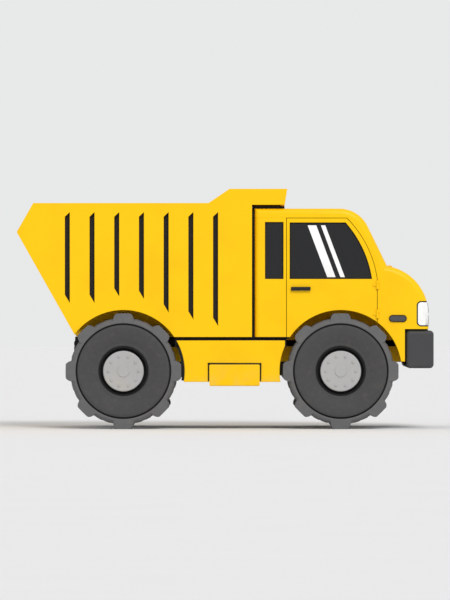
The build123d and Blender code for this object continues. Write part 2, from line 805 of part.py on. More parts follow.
def cab_profile(inset):
    """The cab's outline from the rear roof corner round to the nose, set in by inset."""
    rise = roof_bend - inset
    bend_end = (roof_front_x + rise * math.cos(roof_turn),
                cab_roof_z - roof_bend + rise * math.sin(roof_turn))
    bend_middle = (roof_front_x + rise * math.sin((math.pi / 2 - roof_turn) / 2),
                   cab_roof_z - roof_bend + rise * math.cos((math.pi / 2 - roof_turn) / 2))
    outer_end = (roof_front_x + roof_bend * math.cos(roof_turn),
                 cab_roof_z - roof_bend + roof_bend * math.sin(roof_turn))
    run = math.dist(outer_end, (cowl_x, cowl_z))
    along = ((cowl_x - outer_end[0]) / run, (cowl_z - outer_end[1]) / run)
    start = (cowl_x + along[1] * inset, cowl_z - along[0] * inset)
    reach = (start[0] - nose_centre_x, start[1] - nose_centre_z)
    half_b = reach[0] * along[0] + reach[1] * along[1]
    rest = reach[0] ** 2 + reach[1] ** 2 - (nose_radius - inset) ** 2
    step = -half_b - math.sqrt(max(half_b ** 2 - rest, 0.0))
    cowl = (start[0] + along[0] * step, start[1] + along[1] * step)
    cowl_angle = math.atan2(cowl[1] - nose_centre_z, cowl[0] - nose_centre_x)
    nose_middle = (nose_centre_x + (nose_radius - inset) * math.cos(cowl_angle / 2),
                   nose_centre_z + (nose_radius - inset) * math.sin(cowl_angle / 2))
    roof_rear = (cab_rear_x + inset, cab_roof_z - inset)
    nose = (nose_x - inset, nose_centre_z)
    return roof_rear, (roof_front_x, cab_roof_z - inset), bend_middle, bend_end, cowl, nose_middle, nose


def cab_block(inset, half, tail):
    """The cab's solid within that inset and half width; tail lists the corners that close it below."""
    roof_rear, roof_front, bend_middle, bend_end, cowl, nose_middle, nose = cab_profile(inset)
    with BuildPart() as made:
        with BuildSketch(side_plane(half)):
            with BuildLine():
                Line(roof_rear, roof_front)
                ThreePointArc(roof_front, bend_middle, bend_end)
                Line(bend_end, cowl)
                ThreePointArc(cowl, nose_middle, nose)
                Polyline(nose, *tail, roof_rear)
            make_face()
        extrude(amount=2 * half)
    return made.part


def cab_outer_block():
    """The cab's outer solid with its long side edges rounded."""
    tail = [
        (nose_x, nose_bottom_z),
        (nose_x, fender_bottom_z - 200),
        (cab_rear_x, fender_bottom_z - 200),
    ]
    body = cab_block(0.0, body_half_width, tail)
    side_edges = [edge for edge in body.edges() if abs(abs(edge.center().Y) - body_half_width) < 1]
    rounded = [edge for edge in side_edges if edge.center().Z > fender_bottom_z - 150]
    body = fillet(rounded, cab_edge_round)
    below = [
        (cab_rear_x - 10, cab_bottom_z),
        (cab_front_drop_x, cab_bottom_z),
        (cab_front_drop_x, fender_bottom_z),
        (fender_front_x, fender_bottom_z),
        (fender_front_x, nose_bottom_z),
        (nose_x + 10, nose_bottom_z),
        (nose_x + 10, fender_bottom_z - 400),
        (cab_rear_x - 10, fender_bottom_z - 400),
    ]
    return carve(body, prism(below, -far_y, far_y))


cab_outer = cab_outer_block()
cavity_tail = [
    (nose_x - panel, fender_bottom_z - 300),
    (cab_rear_x + panel, fender_bottom_z - 300),
]
cab_cavity = cab_block(panel, wall_inner, cavity_tail)


def door_prism(grow):
    """The left door's solid, grown by the gap for the opening it fills."""
    low, high = 1200.0, door_top_z + grow
    rear, front = door_rear_x - grow, door_front_x + grow
    with BuildPart() as made:
        with BuildSketch(side_plane(body_half_width + grow)):
            with BuildLine():
                bend_top = (door_bend_top_x + grow * 0.6, high)
                bend_middle = (door_bend_mid[0] + grow, door_bend_mid[1])
                Polyline((front, low), (rear, low), (rear, high), bend_top)
                ThreePointArc(bend_top, bend_middle, (front, window_bottom_z))
                Line((front, window_bottom_z), (front, low))
            make_face()
        extrude(amount=panel + 2 * grow)
    return made.part


def window_prism():
    """The hole for the door's window."""
    with BuildPart() as made:
        with BuildSketch(side_plane(body_half_width + 20)):
            with BuildLine():
                Polyline((door_window_front_x, window_bottom_z), (door_window_rear_x, window_bottom_z),
                         (door_window_rear_x, window_top_z), (door_window_top_x, window_top_z))
                ThreePointArc(
                    (door_window_top_x, window_top_z),
                    door_window_mid,
                    (door_window_front_x, window_bottom_z),
                )
            make_face()
        extrude(amount=panel + 40)
    return made.part


# openings and seams
roof_seam_z = door_top_z + door_gap
nose_seam_x = 2160.0
nose_seam_z = 2185.0
screen_half, screen_low_z, screen_high_z = body_half_width - 170.0, cowl_z + 63.0, cab_roof_z - 237.0
rear_glass_half, rear_glass_low_z, rear_glass_high_z = body_half_width - 450.0, 2290.0, cab_roof_z - 237.0
quarter_low_z, quarter_high_z = window_bottom_z, cab_roof_z - 189.0
bonnet_half, bonnet_rear_x, bonnet_front_z = body_half_width - 390.0, cowl_x + 42.0, 1835.0
bonnet_thickness = 40.0
grille_half, grille_low_z, grille_high_z = body_half_width - 450.0, 1430.0, 1800.0
lamp_inner_y, lamp_bezel = body_half_width - 320.0, 18.0


def lamp_box(border):
    """The space of the left headlamp, smaller by border on its open sides."""
    return block(lamp_rear_x + border, nose_x + 60, lamp_inner_y + border, far_y,
                 lamp_bottom_z + border, lamp_top_z - border)


# hinges: the pin and outer knuckles are fixed, the middle knuckle moves
door_hinge = (door_front_x + 4.0, body_half_width + 18.0)
door_hinge_radius, door_hinge_pin = 16.0, 8.0
door_hinge_z = (1610.0, 2020.0)
bonnet_hinge = (bonnet_rear_x + 4.0, 2287.0)
bonnet_hinge_radius, bonnet_hinge_pin = 11.0, 6.0
bonnet_hinge_y = (-560.0, 560.0)
running_gap = 0.3


def door_hinges(moving):
    """The left door's hinge knuckles, either those on the door or those on the pillar."""
    x, y = door_hinge
    with BuildPart() as made:
        for z in door_hinge_z:
            if moving:
                with Locations((x, y, z)):
                    Cylinder(door_hinge_radius, 40)
                add(block(x - 60, x, body_half_width, body_half_width + 12, z - 20, z + 20))
                with Locations((x, y, z)):
                    Cylinder(door_hinge_pin + running_gap, 60, mode=Mode.SUBTRACT)
            else:
                for middle in (z - 40, z + 40):
                    with Locations((x, y, middle)):
                        Cylinder(door_hinge_radius, 40 - 2 * running_gap)
                    leaf_outer = body_half_width + 20
                    add(block(x + 4, x + 28, body_half_width, leaf_outer, middle - 19, middle + 19))
                with Locations((x, y, z)):
                    Cylinder(door_hinge_pin, 118)
    return made.part


def bonnet_hinges(moving):
    """The bonnet's hinge knuckles, either those on the lid or those on the scuttle."""
    x, z = bonnet_hinge
    with BuildPart() as made:
        for y in bonnet_hinge_y:
            if moving:
                add(cross_cylinder(x, z, bonnet_hinge_radius, y - 20, y + 20))
                add(block(x + 5, x + 40, y - 20, y + 20, z - 35, z + 2))
                add(cross_cylinder(x, z, bonnet_hinge_pin + running_gap, y - 30, y + 30), mode=Mode.SUBTRACT)
            else:
                for middle in (y - 40, y + 40):
                    half = 20 - running_gap
                    add(cross_cylinder(x, z, bonnet_hinge_radius, middle - half, middle + half))
                    add(block(x - 40, x - 5, middle - half, middle + half, z - 35, z + 2))
                add(cross_cylinder(x, z, bonnet_hinge_pin, y - 59, y + 59))
    return made.part


def cab_walls():
    """The whole cab's walls with every opening cut."""
    quarter_rear, quarter_front = quarter_window
    quarter = block(quarter_rear, quarter_front, wall_inner - 40, far_y, quarter_low_z, quarter_high_z)
    screen = block(roof_front_x + 150, cowl_x + 32, -screen_half, screen_half, screen_low_z, screen_high_z)
    rear_window = block(cab_rear_x - 20, cab_rear_x + panel + 20, -rear_glass_half, rear_glass_half,
                        rear_glass_low_z, rear_glass_high_z)
    bonnet_hole = block(bonnet_rear_x, far_x, -bonnet_half, bonnet_half, bonnet_front_z, cowl_z + 118)
    grille_hole = block(nose_x - 200, far_x, -grille_half, grille_half, grille_low_z, grille_high_z)
    return carve(cab_outer, cab_cavity, front_arch, both_sides(door_prism(door_gap)), both_sides(quarter),
                 screen, rear_window, bonnet_hole, grille_hole, both_sides(lamp_box(0.0)))


cab_shell_all = cab_walls()
above = block(0, far_x, -far_y, far_y, roof_seam_z, far_z)
seam_line = [
    (nose_seam_x, 0),
    (nose_seam_x, nose_seam_z),
    (cowl_x, cowl_z + 1),
    (cowl_x, far_z),
    (far_x, far_z),
    (far_x, 0),
]
ahead = prism(seam_line, -far_y, far_y)


def cab_floor_part():
    """The cab's floor and firewall, with the two liners over the front wheels below it."""
    liner_outer = liner_radius + liner_thickness
    bottom, top = cab_floor_bottom_z, cab_floor_bottom_z + cab_floor_thickness
    with BuildPart() as made:
        add(block(cab_rear_x + panel, 2190, -1184, 1184, bottom, top))
        add(block(2150, 2190, -1184, 1184, top, 2222))
        for side in (1, -1):
            low, high = sorted((side * wall_inner, side * 1184))
            for x0, x1 in ((cab_rear_x + panel, door_rear_x - door_gap - 10), (2150, 2190)):
                add(block(x0, x1, low, high, bottom, top))
            low, high = sorted((side * 425, side * 1184))
            below = block(0, far_x, -far_y, far_y, -far_z, fender_bottom_z)
            add(carve(cross_cylinder(front_axle_x, axle_height, liner_outer, low, high),
                      cross_cylinder(front_axle_x, axle_height, liner_radius, low, high), below))
            add(block(front_axle_x - 90, front_axle_x + 90, low, high, bottom - 18, bottom))
            low, high = sorted((side * 405, side * 425))
            add(carve(cross_cylinder(front_axle_x, axle_height, liner_outer, low, high),
                      block(0, far_x, -far_y, far_y, -far_z, rail_top + 90)))
    return made.part


def cab_windows_part():
    """The windscreen, the rear window and the two quarter windows."""
    near, far = 25.0, 25.0 + glass
    front = carve(cab_block(near, screen_half, [(nose_x - near, 900), (cab_rear_x + near, 900)]),
                  cab_block(far, screen_half + 10, [(nose_x - far, 800), (cab_rear_x + far, 800)]))
    front = common(front, block(roof_front_x + 150, cowl_x + 32, -screen_half, screen_half,
                                screen_low_z, screen_high_z))
    rear_x = cab_rear_x + near
    half = rear_glass_half
    rear = block(rear_x, rear_x + glass, -half, half, rear_glass_low_z, rear_glass_high_z)
    outer = body_half_width - near
    quarter = block(*quarter_window, outer - glass, outer, quarter_low_z, quarter_high_z)
    panes = [
        front,
        rear,
        both_sides(quarter),
    ]
    with BuildPart() as made:
        for pane in panes:
            add(pane)
    return made.part


def bonnet_part():
    """The bonnet lid over the engine."""
    reach = bonnet_half - door_gap
    tail = [(nose_x - bonnet_thickness, 800), (cab_rear_x + 40, 800)]
    lid = carve(cab_outer, cab_block(bonnet_thickness, far_y, tail))
    low_z = bonnet_front_z + door_gap
    lid = common(lid, block(bonnet_rear_x + door_gap, far_x, -reach, reach, low_z, cowl_z + 118))
    return joined(lid, bonnet_hinges(True))


def grille_part():
    """The grille with its bars, and the dark frames of the headlamps."""
    back_x = 2772.0
    with BuildPart() as made:
        add(block(back_x, back_x + 14, -grille_half, grille_half, grille_low_z, grille_high_z))
        for i in range(7):
            z = grille_low_z + 16 + i * 53.0
            add(block(back_x + 14, back_x + 40, -grille_half, grille_half, z, z + 20))
        for y in (-grille_half + 10, -10, grille_half - 30):
            add(block(back_x + 14, back_x + 44, y, y + 20, grille_low_z, grille_high_z))
        frame = carve(common(cab_outer, lamp_box(0.0)), lamp_box(lamp_bezel))
        add(frame)
        add(frame.mirror(Plane.XZ))
    return made.part


def headlamps_part():
    """The two headlamps, wrapped round the nose's corners."""
    return both_sides(common(cab_outer, lamp_box(lamp_bezel)))


def side_markers_part():
    """The pill-shaped lamps on the flanks of the nose."""
    middle_x, middle_z = (2293.0 + 2542.0) / 2, (1498.0 + 1596.0) / 2
    with BuildPart() as made:
        with BuildSketch(side_plane(body_half_width + 14)):
            with Locations((middle_x, middle_z)):
                SlotOverall(2542 - 2293, 1596 - 1498)
        extrude(amount=14)
    return both_sides(made.part)


def dashboard_part():
    """The dashboard under the windscreen."""
    outline = [
        (2150, 1778),
        (2150, 2180),
        (2060, 2180),
        (1900, 2090),
        (1900, 2000),
        (1980, 1960),
        (1980, 1778),
    ]
    return prism(outline, -1130, 1130)


def steering_wheel_part():
    """The driver's steering wheel and its column."""
    lean = 35.0
    upward = (-math.cos(math.radians(lean)), 0, math.sin(math.radians(lean)))
    axis = Plane(origin=(1720, 560, 2140), z_dir=upward)
    with BuildPart() as made:
        with BuildSketch(Plane(origin=axis.origin, x_dir=axis.z_dir, z_dir=axis.x_dir)):
            with Locations((0, 225)):
                Circle(17)
        revolve(axis=Axis(axis.origin, axis.z_dir))
        with BuildSketch(axis.offset(-30)):
            Circle(55)
        extrude(amount=40)
        with BuildSketch(axis.offset(-8)):
            Rectangle(440, 36)
            Rectangle(36, 440)
        extrude(amount=16)
        with BuildSketch(axis.offset(-360)):
            Circle(34)
        extrude(amount=340)
    return carve(made.part, block(1900, 2300, 400, 800, 1700, 2300))


def seats_part():
    """The driver's and the passenger's seats."""
    top = cab_floor_bottom_z + cab_floor_thickness
    with BuildPart() as made:
        for y in (-560.0, 560.0):
            add(block(950, 1400, y - 200, y + 200, top, top + 150))
            add(block(900, 1470, y - 270, y + 270, top + 150, top + 280))
            add(prism([(850, 2680), (960, 2690), (1060, top + 280), (900, top + 280)], y - 260, y + 260))
            add(prism([(828, 2860), (918, 2868), (945, 2705), (855, 2697)], y - 130, y + 130))
            add(block(878, 912, y - 40, y + 40, 2650, 2760))
    return made.part


def door_part():
    """The left door, open for its window."""
    door = carve(common(cab_outer, door_prism(0.0)), front_arch, window_prism(),
                 block(0, far_x, 0, far_y, 0, cab_bottom_z))
    return joined(door, door_hinges(True))


def door_glass_part():
    """The left door's window pane."""
    inner = body_half_width - 35
    return common(window_prism(), block(0, far_x, inner, inner + glass, 0, far_z))


def door_handle_part():
    """The left door's grab handle."""
    with BuildPart() as made:
        add(block(921, 1194, body_half_width + 18, body_half_width + 38, 1937, 1989))
        for x in (935.0, 1150.0):
            add(block(x, x + 30, body_half_width, body_half_width + 18, 1945, 1981))
    return made.part


def skirts_part():
    """The side skirts between the wheels."""
    skirt = block(-760, skirt_front_x, wall_inner, body_half_width, skirt_bottom_z, skirt_top_z)
    box = block(box_rear_x, box_front_x, 900, far_y, box_bottom_z, box_top_z)
    return both_sides(carve(skirt, rear_arch, front_arch, box))


def side_boxes_part():
    """The tank and the battery box under the skirts."""
    with BuildPart() as made:
        add(block(box_rear_x, box_front_x, 900, 1285, box_bottom_z, box_top_z))
        middle_z = (box_top_z + box_bottom_z) / 2
        reach = (box_top_z - box_bottom_z) / 2 - 1
        fillet([edge for edge in made.edges() if abs(edge.center().Z - middle_z) > reach], 18)
    return both_sides(made.part)


def bumper_part():
    """The front bumper: a rounded bar open to the rear."""
    with BuildPart() as made:
        with BuildSketch(side_plane(body_half_width)):
            with Locations(((bumper_rear_x + bumper_front_x) / 2, (bumper_bottom_z + bumper_top_z) / 2)):
                RectangleRounded(bumper_depth, bumper_top_z - bumper_bottom_z, bumper_round)
        extrude(amount=2 * body_half_width)
        ends = [edge for edge in made.edges() if abs(abs(edge.center().Y) - body_half_width) < 1]
        fillet([edge for edge in ends if abs(edge.center().X - bumper_front_x) < 1], 50)
        add(block(bumper_rear_x - 10, bumper_front_x - panel, -wall_inner, wall_inner,
                  bumper_bottom_z + panel, bumper_top_z - panel), mode=Mode.SUBTRACT)
    return made.part


def tail_lamps_part():
    """The rear lamps on their bars, beside the rails' ends."""
    with BuildPart() as made:
        add(block(frame_rear_x, frame_rear_x + 40, rail_outer, 790, rail_bottom, rail_bottom + 110))
        for y in (480.0, 640.0):
            add(block(frame_rear_x - 16, frame_rear_x, y, y + 130, rail_bottom + 10, rail_bottom + 100))
    return both_sides(made.part)


keep(common(cab_shell_all, above), "cab_roof")
lower = carve(cab_shell_all, above)
keep(joined(common(lower, ahead), bonnet_hinges(False)), "nose_panel")
keep(common(lower, block(0, door_rear_x, -far_y, far_y, 0, far_z)), "cab_rear")
pillars = common(carve(lower, ahead), block(door_rear_x, far_x, -far_y, far_y, 0, far_z))
keep(joined(pillars, both_sides(door_hinges(False))), "windscreen_frame")
keep(cab_floor_part(), "cab_floor")
keep(cab_windows_part(), "cab_windows")
keep(bonnet_part(), "bonnet")
keep(grille_part(), "grille")
keep(headlamps_part(), "headlamps")
keep(side_markers_part(), "side_markers")
keep(dashboard_part(), "dashboard")
keep(steering_wheel_part(), "steering_wheel")
keep(seats_part(), "seats")
door_pieces = (
    (door_part(), "door"),
    (door_glass_part(), "door_glass"),
    (door_handle_part(), "door_handle"),
)
for piece, name in door_pieces:
    keep(piece, f"{name}_left")
    keep(piece.mirror(Plane.XZ), f"{name}_right")
keep(skirts_part(), "side_skirts")
keep(side_boxes_part(), "side_boxes")
keep(bumper_part(), "bumper")
keep(tail_lamps_part(), "tail_lamps")
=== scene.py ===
# %% [markdown]
# A compact tipping truck: yellow steel bed and cab, big lugged tyres, dark frame. The frame, the panels and
# everything that moves arrive as finished solids, and this script dresses them: it makes the finishes,
# swaps the plain tyres and seats for detailed ones, and adds the trim that gives the eye scale.

# %% Load the truck
import json
import math

import bmesh
import bpy
from mathutils import Matrix, Vector
from mathutils.bvhtree import BVHTree

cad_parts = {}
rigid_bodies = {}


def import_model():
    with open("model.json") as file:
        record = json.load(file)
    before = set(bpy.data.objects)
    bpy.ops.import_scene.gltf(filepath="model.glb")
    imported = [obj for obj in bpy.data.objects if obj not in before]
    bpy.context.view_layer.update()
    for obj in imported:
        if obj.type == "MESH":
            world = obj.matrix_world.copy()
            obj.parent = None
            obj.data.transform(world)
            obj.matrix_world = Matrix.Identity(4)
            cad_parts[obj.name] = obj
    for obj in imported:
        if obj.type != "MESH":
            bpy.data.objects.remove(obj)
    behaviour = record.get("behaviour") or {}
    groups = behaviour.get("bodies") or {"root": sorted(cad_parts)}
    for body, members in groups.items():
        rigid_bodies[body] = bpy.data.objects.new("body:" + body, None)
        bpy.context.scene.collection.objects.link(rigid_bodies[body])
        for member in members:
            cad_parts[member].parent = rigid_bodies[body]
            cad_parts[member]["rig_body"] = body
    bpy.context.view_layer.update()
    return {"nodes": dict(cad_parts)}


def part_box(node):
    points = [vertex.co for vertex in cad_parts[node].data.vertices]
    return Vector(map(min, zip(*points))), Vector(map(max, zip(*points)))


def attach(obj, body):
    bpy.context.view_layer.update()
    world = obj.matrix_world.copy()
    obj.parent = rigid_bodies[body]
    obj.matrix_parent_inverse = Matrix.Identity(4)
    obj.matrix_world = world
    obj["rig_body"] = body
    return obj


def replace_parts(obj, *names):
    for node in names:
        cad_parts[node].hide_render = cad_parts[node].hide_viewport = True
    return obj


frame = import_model()
nodes = frame["nodes"]
WHEELS = ("front_left", "front_right", "rear_left", "rear_right")
SIDES = {"left": 1, "right": -1}

# %% [markdown]
# Paint on a real machine is never one flat value: gloss, dust and wear change from place to place. In
# Blender each such value is a chain of Math nodes. They could be made one by one, but arithmetic is easier
# to read than a row of boxes, so a small class wraps one socket and turns + - * into Math nodes.

# %% A socket that does arithmetic
class Field:
    """One number of a finish, which varies over the surface."""

    def __init__(self, finish, socket):
        self.finish = finish
        self.socket = socket

    def maths(self, operation, *others):
        made = self.finish.node("ShaderNodeMath", {"operation": operation}, [self, *others])
        return Field(self.finish, made.outputs[0])

    def __add__(self, other):
        return self.maths("ADD", other)

    def __sub__(self, other):
        return self.maths("SUBTRACT", other)

    def __mul__(self, other):
        return self.maths("MULTIPLY", other)

    def __radd__(self, other):
        return self + other

    def __rmul__(self, other):
        return self * other

    def __rsub__(self, other):
        return self * -1.0 + other


# %% [markdown]
# A finish is one material: a shader with its output, and the nodes that feed it. Every node is made by one
# method, which sets the node's own settings first, because they can change its sockets, and then gives each
# socket a value or a link. Noise, steps, mixes and bumps are short calls on top of it. All patterns read
# Object coordinates, so they keep their size on every piece and move with it.

# %% One finish and its nodes
class Finish:
    """A material whose nodes are made one at a time by a single method."""

    def __init__(self, name):
        self.material = bpy.data.materials.new(name)
        self.material.use_nodes = True
        self.tree = self.material.node_tree
        self.tree.nodes.clear()
        self.shader = self.node("ShaderNodeBsdfPrincipled")
        self.node("ShaderNodeOutputMaterial", values={"Surface": self.shader.outputs["BSDF"]})
        self.place = self.node("ShaderNodeTexCoord").outputs["Object"]

    def node(self, kind, settings=None, values=None):
        made = self.tree.nodes.new(kind)
        for key, value in (settings or {}).items():
            setattr(made, key, value)
        pairs = values.items() if isinstance(values, dict) else enumerate(values or [])
        for key, value in pairs:
            self.feed(made.inputs[key], value)
        return made

    def feed(self, socket, value):
        if isinstance(value, Field):
            value = value.socket
        if isinstance(value, bpy.types.NodeSocket):
            self.tree.links.new(value, socket)
        else:
            socket.default_value = value

    def set(self, **values):
        for key, value in values.items():
            self.feed(self.shader.inputs[key.replace("_", " ")], value)

    def noise(self, scale, detail=3.0, roughness=0.5, stretch=None):
        place = self.place
        if stretch:
            place = self.node("ShaderNodeMapping", values={"Vector": place, "Scale": stretch}).outputs[0]
        made = self.node("ShaderNodeTexNoise", values={"Vector": place, "Scale": scale, "Detail": detail,
                                                       "Roughness": roughness})
        return Field(self, made.outputs["Fac"])

    def axis(self, name):
        parts = self.node("ShaderNodeSeparateXYZ", values=[self.place])
        return Field(self, parts.outputs[name])

    def step(self, value, low, high):
        made = self.node("ShaderNodeMapRange", {"interpolation_type": "SMOOTHSTEP"},
                         {"Value": value, "From Min": low, "From Max": high})
        return Field(self, made.outputs["Result"])

    def mix(self, factor, first, second):
        made = self.node("ShaderNodeMix", {"data_type": "RGBA"}, {0: factor, 6: first, 7: second})
        return made.outputs[2]

    def bump(self, height, strength, distance):
        made = self.node("ShaderNodeBump",
                         values={"Height": height, "Strength": strength, "Distance": distance})
        self.feed(self.shader.inputs["Normal"], made.outputs["Normal"])


# %% [markdown]
# Site machines wear a thick, slightly orange-peeled enamel. The colour is almost flat from afar; close up
# it has faint clouds, a fine ripple, and a film of dust that thickens towards the ground. A painted image
# would need every panel unwrapped, so noise on the object's own coordinates does it instead.

# %% Enamel and other painted steel
def srgb(red, green, blue):
    """A colour written 0 to 255, as the linear values that shaders use."""
    def linear(value):
        value = value / 255.0
        return value / 12.92 if value <= 0.04045 else ((value + 0.055) / 1.055) ** 2.4
    return (linear(red), linear(green), linear(blue), 1.0)


YELLOW = srgb(255, 203, 0)
YELLOW_DEEP = srgb(247, 190, 0)
DUST = srgb(196, 176, 140)
CHARCOAL = srgb(44, 44, 46)
GUNMETAL = srgb(70, 70, 72)
HUB_GREY = srgb(179, 179, 179)


def enamel(name, colour, deep, gloss=0.38, dust=0.35, dust_top=1.1, ripple=0.05):
    """Sprayed enamel with faint clouds, fine orange peel and dust near the ground."""
    paint = Finish(name)
    clouds = paint.noise(1.6, 4.0)
    fine = paint.noise(46.0, 2.0)
    peel = paint.noise(420.0, 1.0)
    height = paint.axis("Z")
    low_down = 1.0 - paint.step(height, 0.15, dust_top)
    film = low_down * paint.step(paint.noise(5.0, 6.0, 0.62), 0.42, 0.74) * dust
    tinted = paint.mix(paint.step(clouds, 0.42, 0.75) * 0.55, colour, deep)
    paint.set(Base_Color=paint.mix(film, tinted, DUST))
    paint.set(Roughness=fine * 0.12 + film * 0.4 + gloss - 0.06, Specular_IOR_Level=0.2)
    paint.bump(peel * 0.5 + fine, ripple, 0.002)
    return paint.material


finishes = {
    "body": enamel("body enamel", YELLOW, YELLOW_DEEP),
    "bed": enamel("bed enamel", YELLOW, YELLOW_DEEP, gloss=0.44, ripple=0.08),
    "frame": enamel("frame enamel", CHARCOAL, srgb(34, 34, 36), gloss=0.5, dust=0.3, dust_top=1.3),
    "bumper": enamel("bumper enamel", GUNMETAL, srgb(63, 63, 65), gloss=0.48, dust=0.22),
    "hub": enamel("hub enamel", HUB_GREY, srgb(168, 168, 168), gloss=0.4, dust=0.25, dust_top=1.4),
}
print("enamels", sorted(finishes))


# %% [markdown]
# The inside of the bed and the walls behind its slots are scoured by stone, with bright streaks where the
# load slides out. The walls behind the slots are near-black: painted shade that stands for the shadow deep in
# the slots. Streaks run with the slope, so the noise is stretched along the length of the truck.

# %% Scoured bed steel and painted slot shade
def scoured(name, colour, bare, amount):
    """A base colour worn through in long streaks."""
    steel = Finish(name)
    streaks = steel.step(steel.noise(9.0, 8.0, 0.7, stretch=(0.25, 1.6, 1.0)), 0.56, 0.7) * amount
    grain = steel.noise(60.0, 4.0)
    steel.set(Base_Color=steel.mix(streaks, colour, bare), Metallic=streaks * 0.8)
    steel.set(Roughness=grain * 0.2 + 0.5 - streaks * 0.15, Specular_IOR_Level=0.25)
    steel.bump(grain + streaks, 0.25, 0.003)
    return steel.material


# Near-black painted shade for the walls behind the bed's slots, with a few light streaks of wear.
finishes["liner"] = scoured("liner steel", srgb(30, 30, 32), srgb(60, 59, 57), 0.2)
finishes["bed_inside"] = scoured("scoured bed floor", srgb(196, 158, 40), srgb(128, 122, 112), 0.9)
print("finishes", len(finishes))


# %% [markdown]
# Castings, springs and the engine share a coarse grey iron. The hoist's rods are hard chrome, which is
# nothing but a very smooth metal with a very faint grain. Mouldings, seals and lenses differ from it only
# in colour, gloss and grain, so one helper makes them all.

# %% Iron, chrome and lamps
def iron(name, colour):
    """Rough sand-cast iron."""
    cast = Finish(name)
    grain = cast.noise(140.0, 3.0)
    stain = cast.step(cast.noise(7.0, 5.0), 0.45, 0.7) * 0.4
    cast.set(Base_Color=cast.mix(stain, colour, srgb(70, 62, 54)), Metallic=0.35)
    cast.set(Roughness=grain * 0.25 + 0.5)
    cast.bump(grain, 0.35, 0.002)
    return cast.material


def plain(name, colour, rough, metallic=0.0, grain=90.0, relief=0.12, **values):
    """A moulded or polished surface with a fine grain of its own."""
    made = Finish(name)
    texture = made.noise(grain, 2.0)
    shade = tuple(channel * 0.86 for channel in colour[:3]) + (1.0,)
    made.set(Base_Color=made.mix(made.step(made.noise(6.0, 3.0), 0.4, 0.7) * 0.5, colour, shade))
    made.set(Roughness=texture * 0.1 + rough, Metallic=metallic, **values)
    made.bump(texture, relief, 0.001)
    return made.material


finishes["iron"] = iron("cast iron", srgb(66, 66, 68))
finishes["chrome"] = plain("hard chrome", srgb(205, 205, 208), 0.12, 1.0, relief=0.02)
finishes["plastic"] = plain("moulded plastic", srgb(31, 31, 33), 0.5, grain=320.0, relief=0.3,
                            Specular_IOR_Level=0.25)
# Dark rubber for seals and dial faces; the same near-black is painted shade on the rim barrels and tyre
# grooves.
finishes["rubber_seal"] = plain("seal rubber", srgb(24, 24, 25), 0.62, grain=200.0, Specular_IOR_Level=0.2)
finishes["marker"] = plain("smoked lens", srgb(66, 66, 68), 0.22, relief=0.02, Coat_Weight=0.3)
finishes["red_lens"] = plain("red lens", srgb(170, 18, 16), 0.2, relief=0.02, Coat_Weight=0.8)
finishes["lamp"] = plain("headlamp lens", srgb(250, 250, 248), 0.14, relief=0.02, Coat_Weight=1.0)
# White for the dials' marks, and for the painted reflections on the door glass.
finishes["film"] = plain("white film", srgb(255, 255, 255), 0.3, relief=0.02)
print("finishes", len(finishes))


# %% [markdown]
# The cab's windows are heavily smoked. A thin pane that mixes a dark gloss with a little transparency lets
# the seats show faintly from close by and stays dark from afar, with the room's light sliding over it.

# %% Smoked glass
def smoked(name, colour, clear):
    """Dark glazing, mostly gloss and a little see-through."""
    pane = Finish(name)
    pane.set(Base_Color=colour, Roughness=0.06, Specular_IOR_Level=0.4, Alpha=1.0 - clear)
    pane.bump(pane.noise(1.2, 1.0), 0.015, 0.01)
    return pane.material


finishes["glass"] = smoked("smoked glass", srgb(26, 27, 29), 0.14)
print("finishes", len(finishes))


# %% [markdown]
# Tyre rubber is never black on site. It is a chalky grey that is lighter on the lugs, where it scuffs, and
# holds dry mud in the hollows. Fine cracks of noise in the bump keep the sidewall from looking like
# plastic.

# %% Rubber
def rubber(name, colour, scuffed, mud):
    """Chalky tyre rubber with scuffs and a little dry mud."""
    made = Finish(name)
    grain = made.noise(180.0, 3.0)
    scuff = made.step(made.noise(14.0, 5.0, 0.6), 0.45, 0.75)
    dirt = made.step(made.noise(6.0, 6.0, 0.65), 0.52, 0.78) * mud
    made.set(Base_Color=made.mix(dirt, made.mix(scuff * 0.6, colour, scuffed), srgb(134, 120, 98)))
    made.set(Roughness=grain * 0.14 + 0.66 + dirt * 0.1, Specular_IOR_Level=0.3)
    made.bump(grain + scuff * 0.6, 0.3, 0.003)
    return made.material


finishes["tyre_wall"] = rubber("tyre sidewall rubber", srgb(70, 70, 71), srgb(78, 78, 78), 0.12)
finishes["tyre_lug"] = rubber("tyre tread rubber", srgb(100, 100, 101), srgb(110, 110, 110), 0.22)
print("finishes", len(finishes))

# %% [markdown]
# One table says which solid wears which finish. A solid whose shape is right keeps its own mesh and only
# gets its paint here; the ones that are rounded or rebuilt further down pass the finish on.

# %% Give each solid its finish
dressing = {
    "body": ["cab_roof", "nose_panel", "cab_rear", "windscreen_frame", "bonnet", "door_left", "door_right",
             "side_skirts", "side_boxes"],
    "bed": ["bed_side_panels", "bed_front_wall", "bed_canopy", "bed_tail_wall"],
    # The walls behind the bed's slots: painted shade, near-black so that the slots read as deep and shadowed.
    "liner": ["bed_side_liners"],
    "frame": ["frame_rails", "frame_cross_members", "frame_outriggers", "cab_floor", "hoist_barrels",
              "bed_runners", "bed_cross_members", "bed_floor"],
    "bumper": ["bumper"],
    "iron": ["leaf_springs", "rear_axle", "front_axle", "engine", "drive_shaft", "knuckle_left",
             "knuckle_right", "tie_rod"],
    "chrome": ["hoist_rods"],
    "hub": [name for name in nodes if name.startswith("rim_")],
    "plastic": ["grille", "dashboard", "steering_wheel", "door_handle_left", "door_handle_right"],
    "glass": ["cab_windows", "door_glass_left", "door_glass_right"],
    "lamp": ["headlamps"],
    "marker": ["side_markers"],
    "red_lens": ["tail_lamps"],
}


def wear(obj, *names):
    """Give an object its finishes: a face's material index picks one of them."""
    while len(obj.data.materials):
        obj.data.materials.pop()
    for name in names:
        obj.data.materials.append(finishes[name])


for finish, names in dressing.items():
    for name in names:
        wear(nodes[name], finish)
print("dressed", sum(len(names) for names in dressing.values()), "of", len(nodes))
